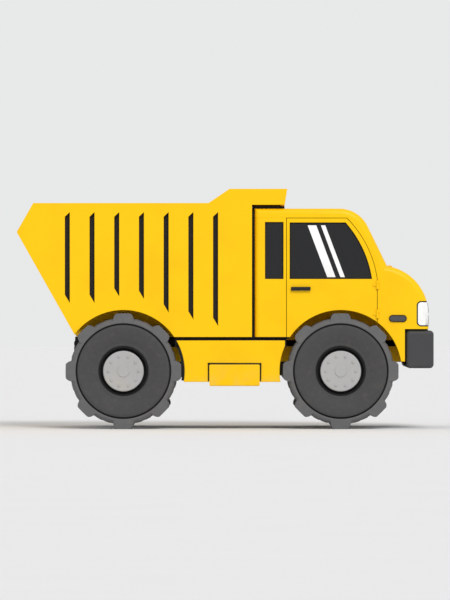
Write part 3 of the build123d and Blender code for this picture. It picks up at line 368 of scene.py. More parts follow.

# %% [markdown]
# Every detail ends the same way: a bmesh becomes an object, wears a finish and rides on a body of the truck.
# One helper does all of that, and a list of boxes, discs and bolts grows from bmesh's own shapes.


def in_scene(name, data):
    """A new object made of a mesh, a lamp or a camera."""
    made = bpy.data.objects.new(name, data)
    bpy.context.scene.collection.objects.link(made)
    return made


def mesh_object(name, shape):
    """A new object made of a bmesh, which is freed."""
    mesh = bpy.data.meshes.new(name)
    shape.to_mesh(mesh)
    shape.free()
    return in_scene(name, mesh)


def piece(name, shape, finish, body="chassis", smooth=35.0, edge=None):
    """Make a bmesh into an object with one finish or several, on a body; edge rounds its edges."""
    bmesh.ops.remove_doubles(shape, verts=shape.verts, dist=1e-5)
    bmesh.ops.recalc_face_normals(shape, faces=shape.faces)
    worn = [finish] if isinstance(finish, str) else finish
    made = mesh_object(name, shape)
    wear(made, *worn)
    shade(made, smooth)
    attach(made, body)
    if edge:
        round_edges(made, edge)
    return made


def shade(obj, degrees):
    """Smooth shading that keeps edges sharper than that angle."""
    obj.data.shade_smooth()
    obj.data.set_sharp_from_angle(angle=math.radians(degrees))


def round_edges(obj, width, segments=2, degrees=34.0):
    """A rounded edge wherever two faces meet at more than that angle."""
    made = obj.modifiers.new("rounded edges", "BEVEL")
    made.width = width
    made.segments = segments
    made.limit_method = "ANGLE"
    made.angle_limit = math.radians(degrees)
    made.use_clamp_overlap = True
    made.harden_normals = False
    obj.modifiers.new("no slivers", "WELD").merge_threshold = 5e-5


def add_box(shape, low, high, turn=None):
    """A box between two corners, turned about its own middle."""
    middle = (Vector(low) + Vector(high)) / 2
    size = Vector(high) - Vector(low)
    place = Matrix.Translation(middle) @ (turn or Matrix.Identity(4)) @ Matrix.Diagonal((*size, 1.0))
    return bmesh.ops.create_cube(shape, size=1.0, matrix=place)["verts"]


def add_disc(shape, centre, direction, radius, depth, sides=24, top=None):
    """A disc or cone frustum that starts at centre and runs depth along direction."""
    turn = Vector((0, 0, 1)).rotation_difference(Vector(direction)).to_matrix().to_4x4()
    middle = Vector(centre) + Vector(direction).normalized() * depth / 2
    return bmesh.ops.create_cone(shape, cap_ends=True, segments=sides, radius1=radius,
                                 radius2=radius if top is None else top, depth=depth,
                                 matrix=Matrix.Translation(middle) @ turn)["verts"]


def add_ring(shape, centre, axis, outline, steps=72):
    """Spin a closed outline of (radius, along the axis) points about an axis."""
    axis = Vector(axis).normalized()
    side = axis.orthogonal().normalized()
    verts = [shape.verts.new(Vector(centre) + side * radius + axis * along) for radius, along in outline]
    edges = [shape.edges.new((verts[i], verts[(i + 1) % len(verts)])) for i in range(len(verts))]
    bmesh.ops.spin(shape, geom=verts + edges, cent=centre, axis=axis, angle=math.tau, steps=steps,
                   use_merge=True)


def only_verts(items):
    """The vertices among what a bmesh operator gives back."""
    return [item for item in items if isinstance(item, bmesh.types.BMVert)]


def add_plate(shape, points, low, high):
    """An outline in X and Z, made solid from y = low to y = high."""
    verts = [shape.verts.new((x, low, z)) for x, z in points]
    face = shape.faces.new(verts)
    grown = bmesh.ops.extrude_face_region(shape, geom=[face])["geom"]
    bmesh.ops.translate(shape, vec=(0, high - low, 0), verts=only_verts(grown))


def both_sides(inner, outer):
    """The ranges of Y, left and right, of what stands on both sides of the truck."""
    return (inner, outer), (-outer, -inner)


def middle_of(node):
    """The middle of a solid's box."""
    low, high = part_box(node)
    return (low + high) / 2


# %% [markdown]
# The solids arrive with knife-sharp edges. Folded and welded steel never has those: every edge catches a
# thin line of light. So each panel is copied, its flat faces are merged back into whole ones, and a small
# bevel rounds it.

# %% Round the edges of the steelwork
SAME_POINT = 2e-5
FLAT_ANGLE = math.radians(1.2)


def whole_faces(node):
    """A copy of a solid whose flat faces are merged back into whole ones."""
    shape = bmesh.new()
    shape.from_mesh(nodes[node].data)
    bmesh.ops.remove_doubles(shape, verts=shape.verts, dist=SAME_POINT)
    bmesh.ops.dissolve_limit(shape, angle_limit=FLAT_ANGLE, verts=shape.verts, edges=shape.edges)
    return shape


def softened(name, width, others=(), where=None):
    """Replace a solid by a copy with rounded edges; where() picks a face's finish, 0 for the solid's own."""
    source = nodes[name]
    shape = whole_faces(name)
    if others:
        for face in shape.faces:
            face.material_index = int(where(face.calc_center_median(), face.normal))
    made = mesh_object(name + "_rounded", shape)
    made.data.materials.append(source.data.materials[0])
    for other in others:
        made.data.materials.append(finishes[other])
    shade(made, 34.0)
    round_edges(made, width)
    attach(made, source["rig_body"])
    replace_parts(made, name)


rounding = {
    0.007: ["bed_side_panels", "bed_canopy", "side_skirts"],
    0.005: ["frame_rails", "frame_cross_members", "frame_outriggers", "bed_runners", "bed_cross_members",
            "dashboard", "engine", "leaf_springs"],
    0.004: ["cab_rear", "windscreen_frame", "nose_panel", "cab_roof", "bonnet", "door_left", "door_right",
            "door_handle_left", "door_handle_right", "tail_lamps"],
}
for width, names in rounding.items():
    for name in names:
        softened(name, width)
print("rounded", sum(len(names) for names in rounding.values()))

# %% [markdown]
# Some parts carry more than one finish. The bed is yellow outside, but the faces that the load slides over
# are scoured, its underside is dark, and the insides of its wheel boxes are yellow. A wheel's disc is pale
# and the barrel round it is painted dark: painted shade for the deep recess between disc and tyre. Cutting
# each part in two would leave a seam, so each face picks its finish by where it lies and which way it looks.

# %% Parts with several finishes
AXLE_Z = 0.810
FRONT_AXLE_X, REAR_AXLE_X = 1.617, -1.425
HOUSE_REACH = 0.95
HOUSE_INNER_Y = 0.3


def faces_wheel(middle, normal, axle_x):
    """True for a face that looks at a wheel: outwards beside it, or towards its axle round it."""
    spoke = Vector((axle_x - middle.x, 0, AXLE_Z - middle.z))
    if spoke.length > HOUSE_REACH or abs(middle.y) < HOUSE_INNER_Y:
        return False
    return normal.y * middle.y > 0.1 or normal.dot(spoke.normalized()) > 0.3


BED_FLOOR_TOP_Z = 1.36


def bed_floor_finish(middle, normal):
    """The bed's floor: scoured above, dark below, yellow inside the wheel boxes."""
    if faces_wheel(middle, normal, REAR_AXLE_X):
        return 2
    return normal.z > 0.1 or middle.z > BED_FLOOR_TOP_Z and middle.y * normal.y < -0.5


softened("bed_floor", 0.006, ["bed_inside", "bed"], bed_floor_finish)
softened("bed_front_wall", 0.007, ["bed_inside"], lambda middle, normal: normal.x < -0.5)
softened("bed_tail_wall", 0.007, ["bed_inside"], lambda middle, normal: normal.x > 0.4)
# Outward faces of the slot walls keep the painted slot shade; the faces towards the load are scoured.
softened("bed_side_liners", 0.005, ["bed_inside"], lambda middle, normal: middle.y * normal.y < -0.5)
softened("cab_floor", 0.005, ["body"], lambda middle, normal: faces_wheel(middle, normal, FRONT_AXLE_X))

DISC_R = 0.2865
DISC_FACE_Y = 1.262


def outside_disc(place):
    """A test that is true for a rim's faces beside or behind its pale disc, which wear painted shade."""
    axle = middle_of(f"rim_{place}")
    return lambda middle, normal: (math.hypot(middle.x - axle.x, middle.z - axle.z) > DISC_R
                                   or abs(middle.y) < DISC_FACE_Y)


# Each rim's barrel round and behind its disc is painted near-black as shade of the deep recess.
for place in WHEELS:
    softened(f"rim_{place}", 0.004, ["rubber_seal"], outside_disc(place))

# %% [markdown]
# A lugged earthmover tyre. One half of its section is mirrored and spun round the axle: bead, a bulging
# sidewall with two moulded rings, shoulder and tread band. Eight thick lugs stand across the band, each
# split by a channel, and low slanted bars stand between them. A displaced surface would need far more faces
# for the same edges, so the lugs are plates with rounded edges that sink into the band.

# %% Tyres
HALF_TYRE = 0.240
TREAD_R = 0.746
LUG_R = 0.809
LUG_COUNT = 8
LUG_TAPER_FROM, LUG_TAPER = 0.03, 0.955
CHANNEL_HALF = 0.016
BAR_SLANT = math.radians(24)
BAR_TURN = 0.085

# radius and distance from the tyre's middle plane, from the bead out to the tread's middle
section = [
    (0.346, 0.176), (0.353, 0.192), (0.372, 0.199), (0.384, 0.196), (0.404, 0.202), (0.440, 0.213),
    (0.490, 0.225), (0.545, 0.233), (0.600, 0.2375), (0.640, 0.2375), (0.646, 0.233), (0.649, 0.218),
    (0.666, 0.218), (0.669, 0.234), (0.674, 0.239), (0.690, 0.239), (0.708, 0.233), (0.728, 0.217),
    (0.741, 0.194), (TREAD_R, 0.168), (TREAD_R, 0.0),
]
PAINTED_SHADE_GROOVE = (0.6445, 0.6705)


def tyre_casing(centre):
    """The tyre without its lugs: sidewall, a groove painted near-black as shade, and tread band."""
    shape = bmesh.new()
    outline = section + [(radius, -along) for radius, along in reversed(section[:-1])]
    outline += [(0.346, -0.10), (0.346, 0.10)]
    add_ring(shape, centre, (0, 1, 0), outline, steps=96)
    for face in shape.faces:
        reach = face.calc_center_median() - centre
        radius = math.hypot(reach.x, reach.z)
        # The groove's faces are painted near-black: painted shade for the recess between the two moulded
        # rings.
        face.material_index = 0 if radius < PAINTED_SHADE_GROOVE[0] else 1 if radius < PAINTED_SHADE_GROOVE[1] else 2
    return shape


def lug(shape, centre, angle):
    """One lug across the tread in two halves, with sloped flanks and a channel between them."""
    points = [
        (-0.146, TREAD_R - 0.070), (0.146, TREAD_R - 0.070), (0.143, TREAD_R - 0.012),
        (0.132, TREAD_R + 0.022), (0.112, LUG_R - 0.012), (0.092, LUG_R - 0.001), (0.0, LUG_R + 0.0008),
        (-0.092, LUG_R - 0.001), (-0.112, LUG_R - 0.012), (-0.132, TREAD_R + 0.022),
        (-0.143, TREAD_R - 0.012),
    ]
    before = set(shape.verts)
    edge = HALF_TYRE - 0.002
    for low, high in ((-edge, -CHANNEL_HALF), (CHANNEL_HALF, edge)):
        add_plate(shape, points, low, high)
    made = [vert for vert in shape.verts if vert not in before]
    for vert in made:
        if vert.co.z > TREAD_R + LUG_TAPER_FROM:
            vert.co.y *= LUG_TAPER
    bmesh.ops.rotate(shape, cent=(0, 0, 0), matrix=Matrix.Rotation(angle, 3, "Y"), verts=made)
    bmesh.ops.translate(shape, vec=centre, verts=made)


def tread_bars(shape, centre, angle):
    """Four low slanted bars on the band, half way between two lugs."""
    for side in (1, -1):
        for turn in (-BAR_TURN, BAR_TURN):
            made = add_box(shape, (-0.020, -0.072, TREAD_R - 0.012), (0.020, 0.072, TREAD_R + 0.0045),
                           Matrix.Rotation(side * BAR_SLANT, 4, "Z"))
            bmesh.ops.translate(shape, vec=(0, side * 0.092, 0), verts=made)
            bmesh.ops.rotate(shape, cent=(0, 0, 0), matrix=Matrix.Rotation(angle + turn, 3, "Y"), verts=made)
            bmesh.ops.translate(shape, vec=centre, verts=made)


for place in WHEELS:
    centre = middle_of(f"tyre_{place}")
    rubbers = ["tyre_wall", "rubber_seal", "tyre_lug"]
    casing = piece(f"tyre_{place}_casing", tyre_casing(centre), rubbers, f"wheel_{place}", 50.0)
    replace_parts(casing, f"tyre_{place}")
    lugs = bmesh.new()
    for index in range(LUG_COUNT):
        lug(lugs, centre, math.tau * index / LUG_COUNT)
        tread_bars(lugs, centre, math.tau * (index + 0.5) / LUG_COUNT)
    round_edges(piece(f"tyre_{place}_lugs", lugs, "tyre_lug", f"wheel_{place}", 40.0), 0.012, 3, 38.0)
print("tyres", len(WHEELS), "lugs on each", LUG_COUNT)

# %% [markdown]
# The wheel's pale disc carries ten nuts round its edge and a flat cap over the axle's end. They share the
# disc's paint, so from the side they only show as small shadows. The cap is spun from its section, and a
# nut is a cone with six sides on a round washer, which is all that its size calls for.

# %% Wheel nuts and hub caps
NUT_COUNT = 10
NUT_CIRCLE_R = 0.212
HUB_FACE_Y = 1.282

for place in WHEELS:
    axle = middle_of(f"rim_{place}")
    side = 1 if axle.y > 0 else -1
    face_y = side * HUB_FACE_Y
    trim = bmesh.new()
    add_ring(trim, (axle.x, 0, axle.z), (0, 1, 0),
             [(0.001, face_y - side * 0.004), (0.001, face_y + side * 0.010), (0.078, face_y + side * 0.010),
              (0.086, face_y + side * 0.003), (0.086, face_y - side * 0.004)], steps=48)
    for index in range(NUT_COUNT):
        angle = math.tau * index / NUT_COUNT
        foot = (axle.x + NUT_CIRCLE_R * math.cos(angle), face_y - side * 0.002,
                axle.z + NUT_CIRCLE_R * math.sin(angle))
        add_disc(trim, foot, (0, side, 0), 0.024, 0.005, 20)
        add_disc(trim, foot, (0, side, 0), 0.017, 0.015, 6, top=0.015)
    piece(f"wheel_nuts_{place}", trim, "hub", f"wheel_{place}", 30.0, edge=0.0015)
print("wheel nuts", NUT_COUNT * len(WHEELS))

# %% [markdown]
# Wherever two panels meet there is a dark seam, because rubber fills the gap: at the back of the cab,
# between roof and canopy, and along the tops of the skirts. A strip could be an extruded profile, but at
# this size only its width and its soft edge show, so each one is a box with bevelled edges, and one helper
# repeats it on the other side. All of them stay clear of whatever moves past.

# %% Rubber strips
def strips(name, boxes, finish="rubber_seal", edge=0.004):
    """Several boxes as one rounded piece on the chassis, repeated on the other side of the truck."""
    shape = bmesh.new()
    for low, high in boxes:
        for near, far in both_sides(low[1], high[1]):
            add_box(shape, (low[0], near, low[2]), (high[0], far, high[2]))
    piece(name, shape, finish, edge=edge)


roof_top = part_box("cab_roof")[1].z
skirt_low, skirt_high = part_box("side_skirts")
box_low, box_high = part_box("side_boxes")
strips("cab_rear_gasket", [((0.383, 1.10, 1.268), (0.418, 1.158, roof_top + 0.036)),
                           ((0.383, -1.158, roof_top - 0.03), (0.418, 1.158, roof_top + 0.036))])
strips("roof_pads", [((0.40, 1.10, roof_top - 0.006), (0.832, 1.160, roof_top + 0.036)),
                     ((0.40, 0.20, roof_top - 0.006), (0.800, 0.26, roof_top + 0.030))])
strips("skirt_top_seals", [((skirt_low.x - 0.02, 1.150, 1.140), (skirt_high.x + 0.02, 1.192, 1.272)),
                           ((0.383, 1.150, 1.262), (0.862, 1.192, 1.290)),
                           ((0.325, 1.150, 1.262), (0.383, 1.192, 1.282))], edge=0.002)
print("roof top", roof_top, "skirts", skirt_low.x, "to", skirt_high.x)

# %% [markdown]
# A door closes against a rubber seal round its opening, which shows as the thin dark line of the door's
# seam and keeps light from shining through. It follows the opening's front edge, which is an arc through
# three known points. A curve with a profile could follow it too, but a flat band made solid has crisp
# corners, so the band's outline is worked out from the path and extruded.

# %% Seals round the doors' openings
def band_outline(points, half):
    """The outline of a strip of even width that follows a path in X and Z."""
    places = [Vector(point) for point in points]
    left, right = [], []
    for index, place in enumerate(places):
        ahead = (places[min(index + 1, len(places) - 1)] - place).normalized()
        behind = (place - places[max(index - 1, 0)]).normalized()
        along = (ahead + behind).normalized()
        side = Vector((-along.y, along.x)) * half / max(along.dot(ahead), along.dot(behind))
        left.append(place + side)
        right.append(place - side)
    return left + right[::-1]


def on_circle(x, z, radius, turns):
    """Points of a circle in X and Z, at those angles."""
    return [(x + radius * math.cos(turn), z + radius * math.sin(turn)) for turn in turns]


def arc_through(start, middle, end, steps):
    """Points on the circle through three points in X and Z."""
    (ax, az), (bx, bz), (cx, cz) = start, middle, end
    scale = 2 * (ax * (bz - cz) + bx * (cz - az) + cx * (az - bz))
    squares = [x * x + z * z for x, z in (start, middle, end)]
    x = (squares[0] * (bz - cz) + squares[1] * (cz - az) + squares[2] * (az - bz)) / scale
    z = (squares[0] * (cx - bx) + squares[1] * (ax - cx) + squares[2] * (bx - ax)) / scale
    first, last = math.atan2(az - z, ax - x), math.atan2(cz - z, cx - x)
    radius = math.hypot(ax - x, az - z)
    return on_circle(x, z, radius, [first + (last - first) * step / steps for step in range(steps + 1)])


DOOR_SEAL_HALF = 0.017
door_front_edge = arc_through((1.704, 2.954), (1.989, 2.555), (2.129, 2.100), 14)
door_path = [(0.858, 1.340), (0.858, 2.954), *door_front_edge, (2.129, 1.640)]
door_seals = bmesh.new()
for near, far in both_sides(1.172, 1.189):
    add_plate(door_seals, band_outline(door_path, DOOR_SEAL_HALF), near, far)
piece("door_opening_seals", door_seals, "rubber_seal", edge=0.004)
print("points along a door's seal", len(door_path))

# %% [markdown]
# The boxes and the bumper sit on thin seals. The wheel houses are closed by sheet panels, which keep mud
# off the frame, and a rubber flap closes the rear end of each skirt along the curve of the rear tyre. The
# plates are boxes again. The flap is a slice of a ring, so two arcs make its outline.

# %% Seals, closing plates and flaps
strips("rail_splash_plates", [((-0.74, 0.401, 0.740), (0.95, 0.412, 0.936))], "frame", edge=0.002)
SEAL_LOW, SEAL_HIGH = 1.245, 1.262
rear, front, foot, top = box_low.x - 0.020, box_high.x + 0.020, box_low.z + 0.07, box_high.z + 0.02
strips("box_seals", [((rear, SEAL_LOW, foot), (box_low.x + 0.002, SEAL_HIGH, top)),
                     ((box_high.x - 0.002, SEAL_LOW, foot), (front, SEAL_HIGH, top)),
                     ((rear, SEAL_LOW, box_high.z - 0.002), (front, SEAL_HIGH, top))], edge=0.003)
strips("bumper_seals", [((2.513, 1.120, 0.960), (2.545, 1.188, 1.404)),
                        ((2.535, 0.40, 1.370), (2.838, 1.188, 1.404))])
FLAP_INNER_R, FLAP_OUTER_R = 0.820, 0.860
arc = [math.radians(-9 + 3.6 * step) for step in range(10)]
outline = on_circle(REAR_AXLE_X, AXLE_Z, FLAP_OUTER_R, arc)
outline += on_circle(REAR_AXLE_X, AXLE_Z, FLAP_INNER_R, arc[::-1])
skirt_flaps = bmesh.new()
for near, far in both_sides(1.196, 1.244):
    add_plate(skirt_flaps, outline, near, far)
piece("skirt_flaps", skirt_flaps, "rubber_seal")
strips("arch_inner_panels", [((0.800, 0.408, 1.150), (2.440, 0.420, 1.262)),
                             ((0.700, 0.408, 0.936), (1.000, 0.420, 1.262)),
                             ((2.150, 0.408, 0.936), (2.500, 0.420, 1.262)),
                             ((-0.900, 0.408, 0.936), (-0.560, 0.420, 1.145))], "body", edge=0.002)
strips("cab_corner_closers", [((0.800, 1.150, 1.262), (0.900, 1.184, 1.300))], "frame", edge=0.002)
print("boxes from", box_low.x, "to", box_high.x)

# %% [markdown]
# A pane sits in a rubber channel. Each pane's outer face is copied and inset: the border that the inset
# leaves becomes the rubber, thickened a few millimetres, and it follows straight and curved edges alike.

# %% Window rubbers
def face_border(name, node, width, body, facing, lift=0.003):
    """A raised rubber border just inside the outline of each face that passes the test."""
    shape = whole_faces(node)
    bmesh.ops.delete(shape, geom=[face for face in shape.faces if not facing(face)], context="FACES")
    ring = set(bmesh.ops.inset_region(shape, faces=list(shape.faces), thickness=width, use_boundary=True,
                                      use_even_offset=True)["faces"])
    bmesh.ops.delete(shape, geom=[face for face in shape.faces if face not in ring], context="FACES")
    shape.normal_update()
    grown = bmesh.ops.extrude_face_region(shape, geom=list(shape.faces))["geom"]
    for vert in only_verts(grown):
        vert.co += vert.normal * lift
    round_edges(piece(name, shape, "rubber_seal", body), 0.001, 2, 40.0)


def outside_of_cab(face):
    """True for a pane's large face that looks away from the cab's middle."""
    if face.calc_area() < 0.06:
        return False
    middle = face.calc_center_median()
    away = Vector((middle.x - 1.2, middle.y, middle.z - 2.4))
    return face.normal.dot(away) > 0.05


def outside_of_marker(face):
    """True for a marker's large face, which looks away from the truck."""
    return face.calc_area() > 0.015 and face.normal.y * face.calc_center_median().y > 0.9


for side in SIDES:
    face_border(f"door_window_rubber_{side}", f"door_glass_{side}", 0.015, f"door_{side}", outside_of_cab)
face_border("fixed_window_rubbers", "cab_windows", 0.015, "chassis", outside_of_cab)
face_border("marker_bezels", "side_markers", 0.013, "chassis", outside_of_marker, lift=0.002)
print("borders", 4)

# %% [markdown]
# Two slanted white bands cross each door window, one broad and one narrow. They are a painted reflection:
# thin white plates that lie on the glass, stand for light glancing off it, and open with the door.

# %% Painted reflections on the door glass
BAND_TOP_Z = 2.852
BAND_BOTTOM_Z = 2.126
BAND_THICKNESS = 0.0012
# top rear, top front, bottom rear, bottom front
painted_reflection_bands = [(1.154, 1.275, 1.429, 1.545), (1.340, 1.401, 1.613, 1.675)]
# Each band is a painted reflection: a white plate that stands for light glancing off the glass.
for side, sign in SIDES.items():
    film = bmesh.new()
    pane_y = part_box(f"door_glass_{side}")[1 if sign > 0 else 0].y
    for top_rear, top_front, bottom_rear, bottom_front in painted_reflection_bands:
        outline = [(top_rear, BAND_TOP_Z), (top_front, BAND_TOP_Z),
                   (bottom_front, BAND_BOTTOM_Z), (bottom_rear, BAND_BOTTOM_Z)]
        add_plate(film, outline, pane_y, pane_y + sign * BAND_THICKNESS)
    piece(f"window_painted_reflections_{side}", film, "film", f"door_{side}")
print("painted_reflection_bands", len(painted_reflection_bands) * 2)

# %% [markdown]
# A headlamp wraps round the nose's corner. Its lens has round corners at the rear, so the solid's two
# straight rear edges are bevelled, and dark fillets close the corners that this opens. In front, two low
# domes stand in dark rings, square to the lens where they sit.

# %% Headlamps
LENS_ROUND = 0.046
BEZEL_ROUND = 0.062
lamp_low, lamp_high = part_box("headlamps")
lamp_gap = Vector((0.018, 0, 0.018))
hole_low, hole_high = lamp_low - lamp_gap, lamp_high + lamp_gap
CAB_SIDE_Y = 1.250
LAMP_INNER_Y = 0.948


def corner_fillet(shape, corner, turn_x, turn_z, radius, low, high):
    """Fill a square corner up to a round one: turn_x and turn_z point into the opening."""
    centre = Vector((corner[0] + turn_x * radius, 0, corner[1] + turn_z * radius))
    outline = [corner]
    for step in range(9):
        angle = math.pi / 2 * step / 8
        outline.append((centre.x - turn_x * radius * math.sin(angle),
                        centre.z - turn_z * radius * math.cos(angle)))
    add_plate(shape, outline, low, high)


lens = whole_faces("headlamps")
rear_edges = [edge for edge in lens.edges if abs(edge.verts[0].co.y - edge.verts[1].co.y) > 0.2
              and all(vert.co.x < lamp_low.x + 0.001 for vert in edge.verts)]
bmesh.ops.bevel(lens, geom=rear_edges, offset=LENS_ROUND, segments=7, profile=0.5, affect="EDGES",
                material=-1)
lens_surface = BVHTree.FromBMesh(lens)
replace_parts(piece("headlamp_lenses", lens, "lamp", smooth=40.0), "headlamps")

dark_corners, yellow_corners = bmesh.new(), bmesh.new()
for turn_z, lens_z, hole_z in ((1, lamp_low.z, hole_low.z), (-1, lamp_high.z, hole_high.z)):
    for near, far in both_sides(LAMP_INNER_Y, CAB_SIDE_Y - 0.0015):
        corner_fillet(dark_corners, (lamp_low.x, lens_z), 1, turn_z, LENS_ROUND, near, far)
    for near, far in both_sides(CAB_SIDE_Y - 0.004, CAB_SIDE_Y + 0.0008):
        corner_fillet(yellow_corners, (hole_low.x, hole_z), 1, turn_z, BEZEL_ROUND, near, far)
piece("headlamp_corner_rubbers", dark_corners, "rubber_seal")
piece("headlamp_corner_gussets", yellow_corners, "body")

DOME_Y = 1.060
DOME_HEIGHTS = (1.528, 1.694)
POLE_REACH = 0.0021
rings, domes = bmesh.new(), bmesh.new()
for side in (1, -1):
    for height in DOME_HEIGHTS:
        centre, outward = lens_surface.ray_cast(Vector((4, side * DOME_Y, height)), Vector((-1, 0, 0)))[:2]
        add_ring(rings, centre, outward, [(0.058, -0.012), (0.058, 0.003), (0.063, 0.006), (0.069, 0.003),
                                          (0.069, -0.012)], steps=48)
        add_ring(domes, centre, outward, [(0.001, -0.010), (0.001, 0.008), (0.022, 0.0065), (0.042, 0.003),
                                          (0.058, -0.003), (0.058, -0.010)], steps=48)
bmesh.ops.remove_doubles(domes, verts=domes.verts, dist=POLE_REACH)
bmesh.ops.delete(domes, geom=[edge for edge in domes.edges if not edge.link_faces], context="EDGES")
piece("headlamp_rings", rings, "plastic")
piece("headlamp_domes", domes, "lamp")
print("headlamp edges rounded", len(rear_edges))

# %% [markdown]
# Woven seat cloth: two sets of ribs cross at right angles, and each rib rises over the next. Waves of the
# object's own coordinates make them, so the weave keeps its size on every cushion.

# %% Seat cloth
def woven(name, colour, light, thread=0.0035):
    """Coarse woven cloth with a soft sheen and faint darker patches."""
    cloth = Finish(name)
    turn = math.tau / thread
    across, along, up = cloth.axis("Y"), cloth.axis("X"), cloth.axis("Z")
    warp = (across * turn).maths("SINE")
    weft = ((along + up) * turn).maths("SINE")
    weave = warp * weft * 0.5 + 0.5
    worn = cloth.step(cloth.noise(5.0, 4.0), 0.45, 0.75) * 0.5
    cloth.set(Base_Color=cloth.mix(weave * 0.5 + worn * 0.4, colour, light), Roughness=weave * 0.1 + 0.82,
              Sheen_Weight=0.3, Specular_IOR_Level=0.2)
    cloth.bump(weave, 0.5, 0.001)
    return cloth.material


finishes["seat_cloth"] = woven("seat cloth", srgb(52, 53, 57), srgb(74, 75, 80))
print("finishes", len(finishes))

# %% [markdown]
# A seat pad is foam in a sewn cover. Each pad starts as a wedge a little smaller than the solid it stands
# for, is remeshed, and is blown up by a cloth simulation, so its sides crown and its corners pull in. A cap
# keeps every point near its start. The sewn channels are pressed in afterwards, since remeshing would erase
# them.

# %% Blow up a pad
VOXEL = 0.011
PAD_SHRINK = 0.010
PAD_SWELL = 0.009
PRESSURE = 4.0
AIR_FRAMES = 20
PAD_CORNER = 0.028


def pad_shape(outline, middle_y, half_width):
    """A wedge between two side outlines, smaller than its solid by the room for swelling."""
    shape = bmesh.new()
    centre_x, centre_z = (sum(values) / len(outline) for values in zip(*outline))
    inner = [(x - math.copysign(PAD_SHRINK, x - centre_x), z - math.copysign(PAD_SHRINK, z - centre_z))
             for x, z in outline]
    add_plate(shape, inner, middle_y - half_width + PAD_SHRINK, middle_y + half_width - PAD_SHRINK)
    bmesh.ops.recalc_face_normals(shape, faces=shape.faces)
    bmesh.ops.bevel(shape, geom=list(shape.edges), offset=PAD_CORNER, segments=4, profile=0.5,
                    affect="EDGES", material=-1)
    return shape


def apply_modifiers(obj):
    """Freeze the object's modifiers into its mesh."""
    evaluated = obj.evaluated_get(bpy.context.evaluated_depsgraph_get())
    baked = bpy.data.meshes.new_from_object(evaluated)
    obj.modifiers.clear()
    obj.data = baked


def swell(obj):
    """Remesh the pad, let it fill with air, and cap how far a point may go."""
    remesh = obj.modifiers.new("even mesh", "REMESH")
    remesh.mode = "VOXEL"
    remesh.voxel_size = VOXEL
    apply_modifiers(obj)
    start = [vert.co.copy() for vert in obj.data.vertices]
    cloth = obj.modifiers.new("air", "CLOTH")
    cloth.settings.use_pressure = True
    cloth.settings.uniform_pressure_force = PRESSURE
    cloth.settings.effector_weights.gravity = 0.0
    cloth.settings.quality = 5
    cloth.collision_settings.use_collision = False
    cloth.point_cache.frame_end = AIR_FRAMES
    for step in range(1, AIR_FRAMES + 1):
        bpy.context.scene.frame_set(step)
    apply_modifiers(obj)
    bpy.context.scene.frame_set(1)
    for vert, origin in zip(obj.data.vertices, start):
        moved = vert.co - origin
        if moved.length > PAD_SWELL:
            vert.co = origin + moved.normalized() * PAD_SWELL


def press_channels(obj, lines, depth=0.007, width=0.010):
    """Press sewn channels into the pad: each line is an axis and the place along it."""
    for vert in obj.data.vertices:
        push = 0.0
        for axis, place in lines:
            push = max(push, math.exp(-((vert.co[axis] - place) / width) ** 2))
        vert.co -= vert.normal * depth * push


def seat_pad(name, outline, middle_y, half_width, lines):
    """One padded piece of a seat."""
    made = piece(name, pad_shape(outline, middle_y, half_width), "seat_cloth", smooth=180.0)
    swell(made)
    made.data.update()
    press_channels(made, lines)
    made.data.shade_smooth()
    finer = made.modifiers.new("smooth cover", "SUBSURF")
    finer.levels = 1
    finer.render_levels = 1
    wear(made, "seat_cloth")
    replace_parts(made, "seats")


# %% [markdown]
# Two seats stand on pedestals. The cushion has channels beside its bolsters and one across, the back has
# two across, and the headrest has one and slides on two thin posts. The pads are separate pieces, because
# each one is sewn and stuffed on its own.

# %% Seats
SEAT_Y = 0.56
BOLSTER_Y = 0.165
cushion_outline = [(0.900, 1.930), (1.470, 1.930), (1.470, 2.058), (0.900, 2.050)]
back_outline = [(0.850, 2.680), (0.960, 2.690), (1.056, 2.064), (0.902, 2.064)]
head_outline = [(0.828, 2.860), (0.918, 2.868), (0.945, 2.705), (0.855, 2.697)]
for side, sign in SIDES.items():
    y = sign * SEAT_Y
    bolsters = [(1, y - BOLSTER_Y), (1, y + BOLSTER_Y)]
    seat_pad(f"seat_cushion_{side}", cushion_outline, y, 0.270, bolsters + [(0, 1.20)])
    seat_pad(f"seat_back_{side}", back_outline, y, 0.260, bolsters + [(2, 2.26), (2, 2.48)])
    seat_pad(f"seat_headrest_{side}", head_outline, y, 0.130, [(2, 2.782)])

frames = bmesh.new()
for sign in (1, -1):
    y = sign * SEAT_Y
    add_box(frames, (0.95, y - 0.20, 1.780), (1.40, y + 0.20, 1.812))
    add_box(frames, (1.00, y - 0.16, 1.812), (1.35, y + 0.16, 1.900))
    for near, far in both_sides(0.185, 0.215):
        add_box(frames, (0.96, y + near, 1.900), (1.42, y + far, 1.928))
    for post_y in (y - 0.045, y + 0.045):
        add_disc(frames, (0.893, post_y, 2.668), (-0.06, 0, 1), 0.007, 0.06, 16)
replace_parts(piece("seat_frames", frames, "plastic", edge=0.004), "seats")
print("seats", 2)

# %% [markdown]
# Two wipers park along the foot of the windscreen. The screen leans, so their places are given along its
# slope: across the cab, up the slope, and out from it. A bar is a box stretched from one such place to the
# next.

# %% Windscreen wipers
COWL = Vector((2.268, 0.0, 2.282))
GLASS_DEPTH = 0.025
BLADE_HALF = 0.27
up_screen = Vector((-0.489, 0.0, 1.0)).normalized()
off_screen = Vector((1.0, 0.0, 0.489)).normalized()


def on_screen(y, up, out):
    """A place on the leaning windscreen."""
    return COWL + up_screen * up + off_screen * out + Vector((0, y, 0))


def add_bar(shape, start, end, width, depth, outward):
    """A box along a line, with its depth along outward."""
    line = end - start
    along = line.normalized()
    across = outward.cross(along).normalized()
    turn = Matrix((along, across, along.cross(across))).transposed().to_4x4()
    size = Matrix.Diagonal((line.length, width, depth, 1.0))
    bmesh.ops.create_cube(shape, size=1.0, matrix=Matrix.Translation((start + end) / 2) @ turn @ size)


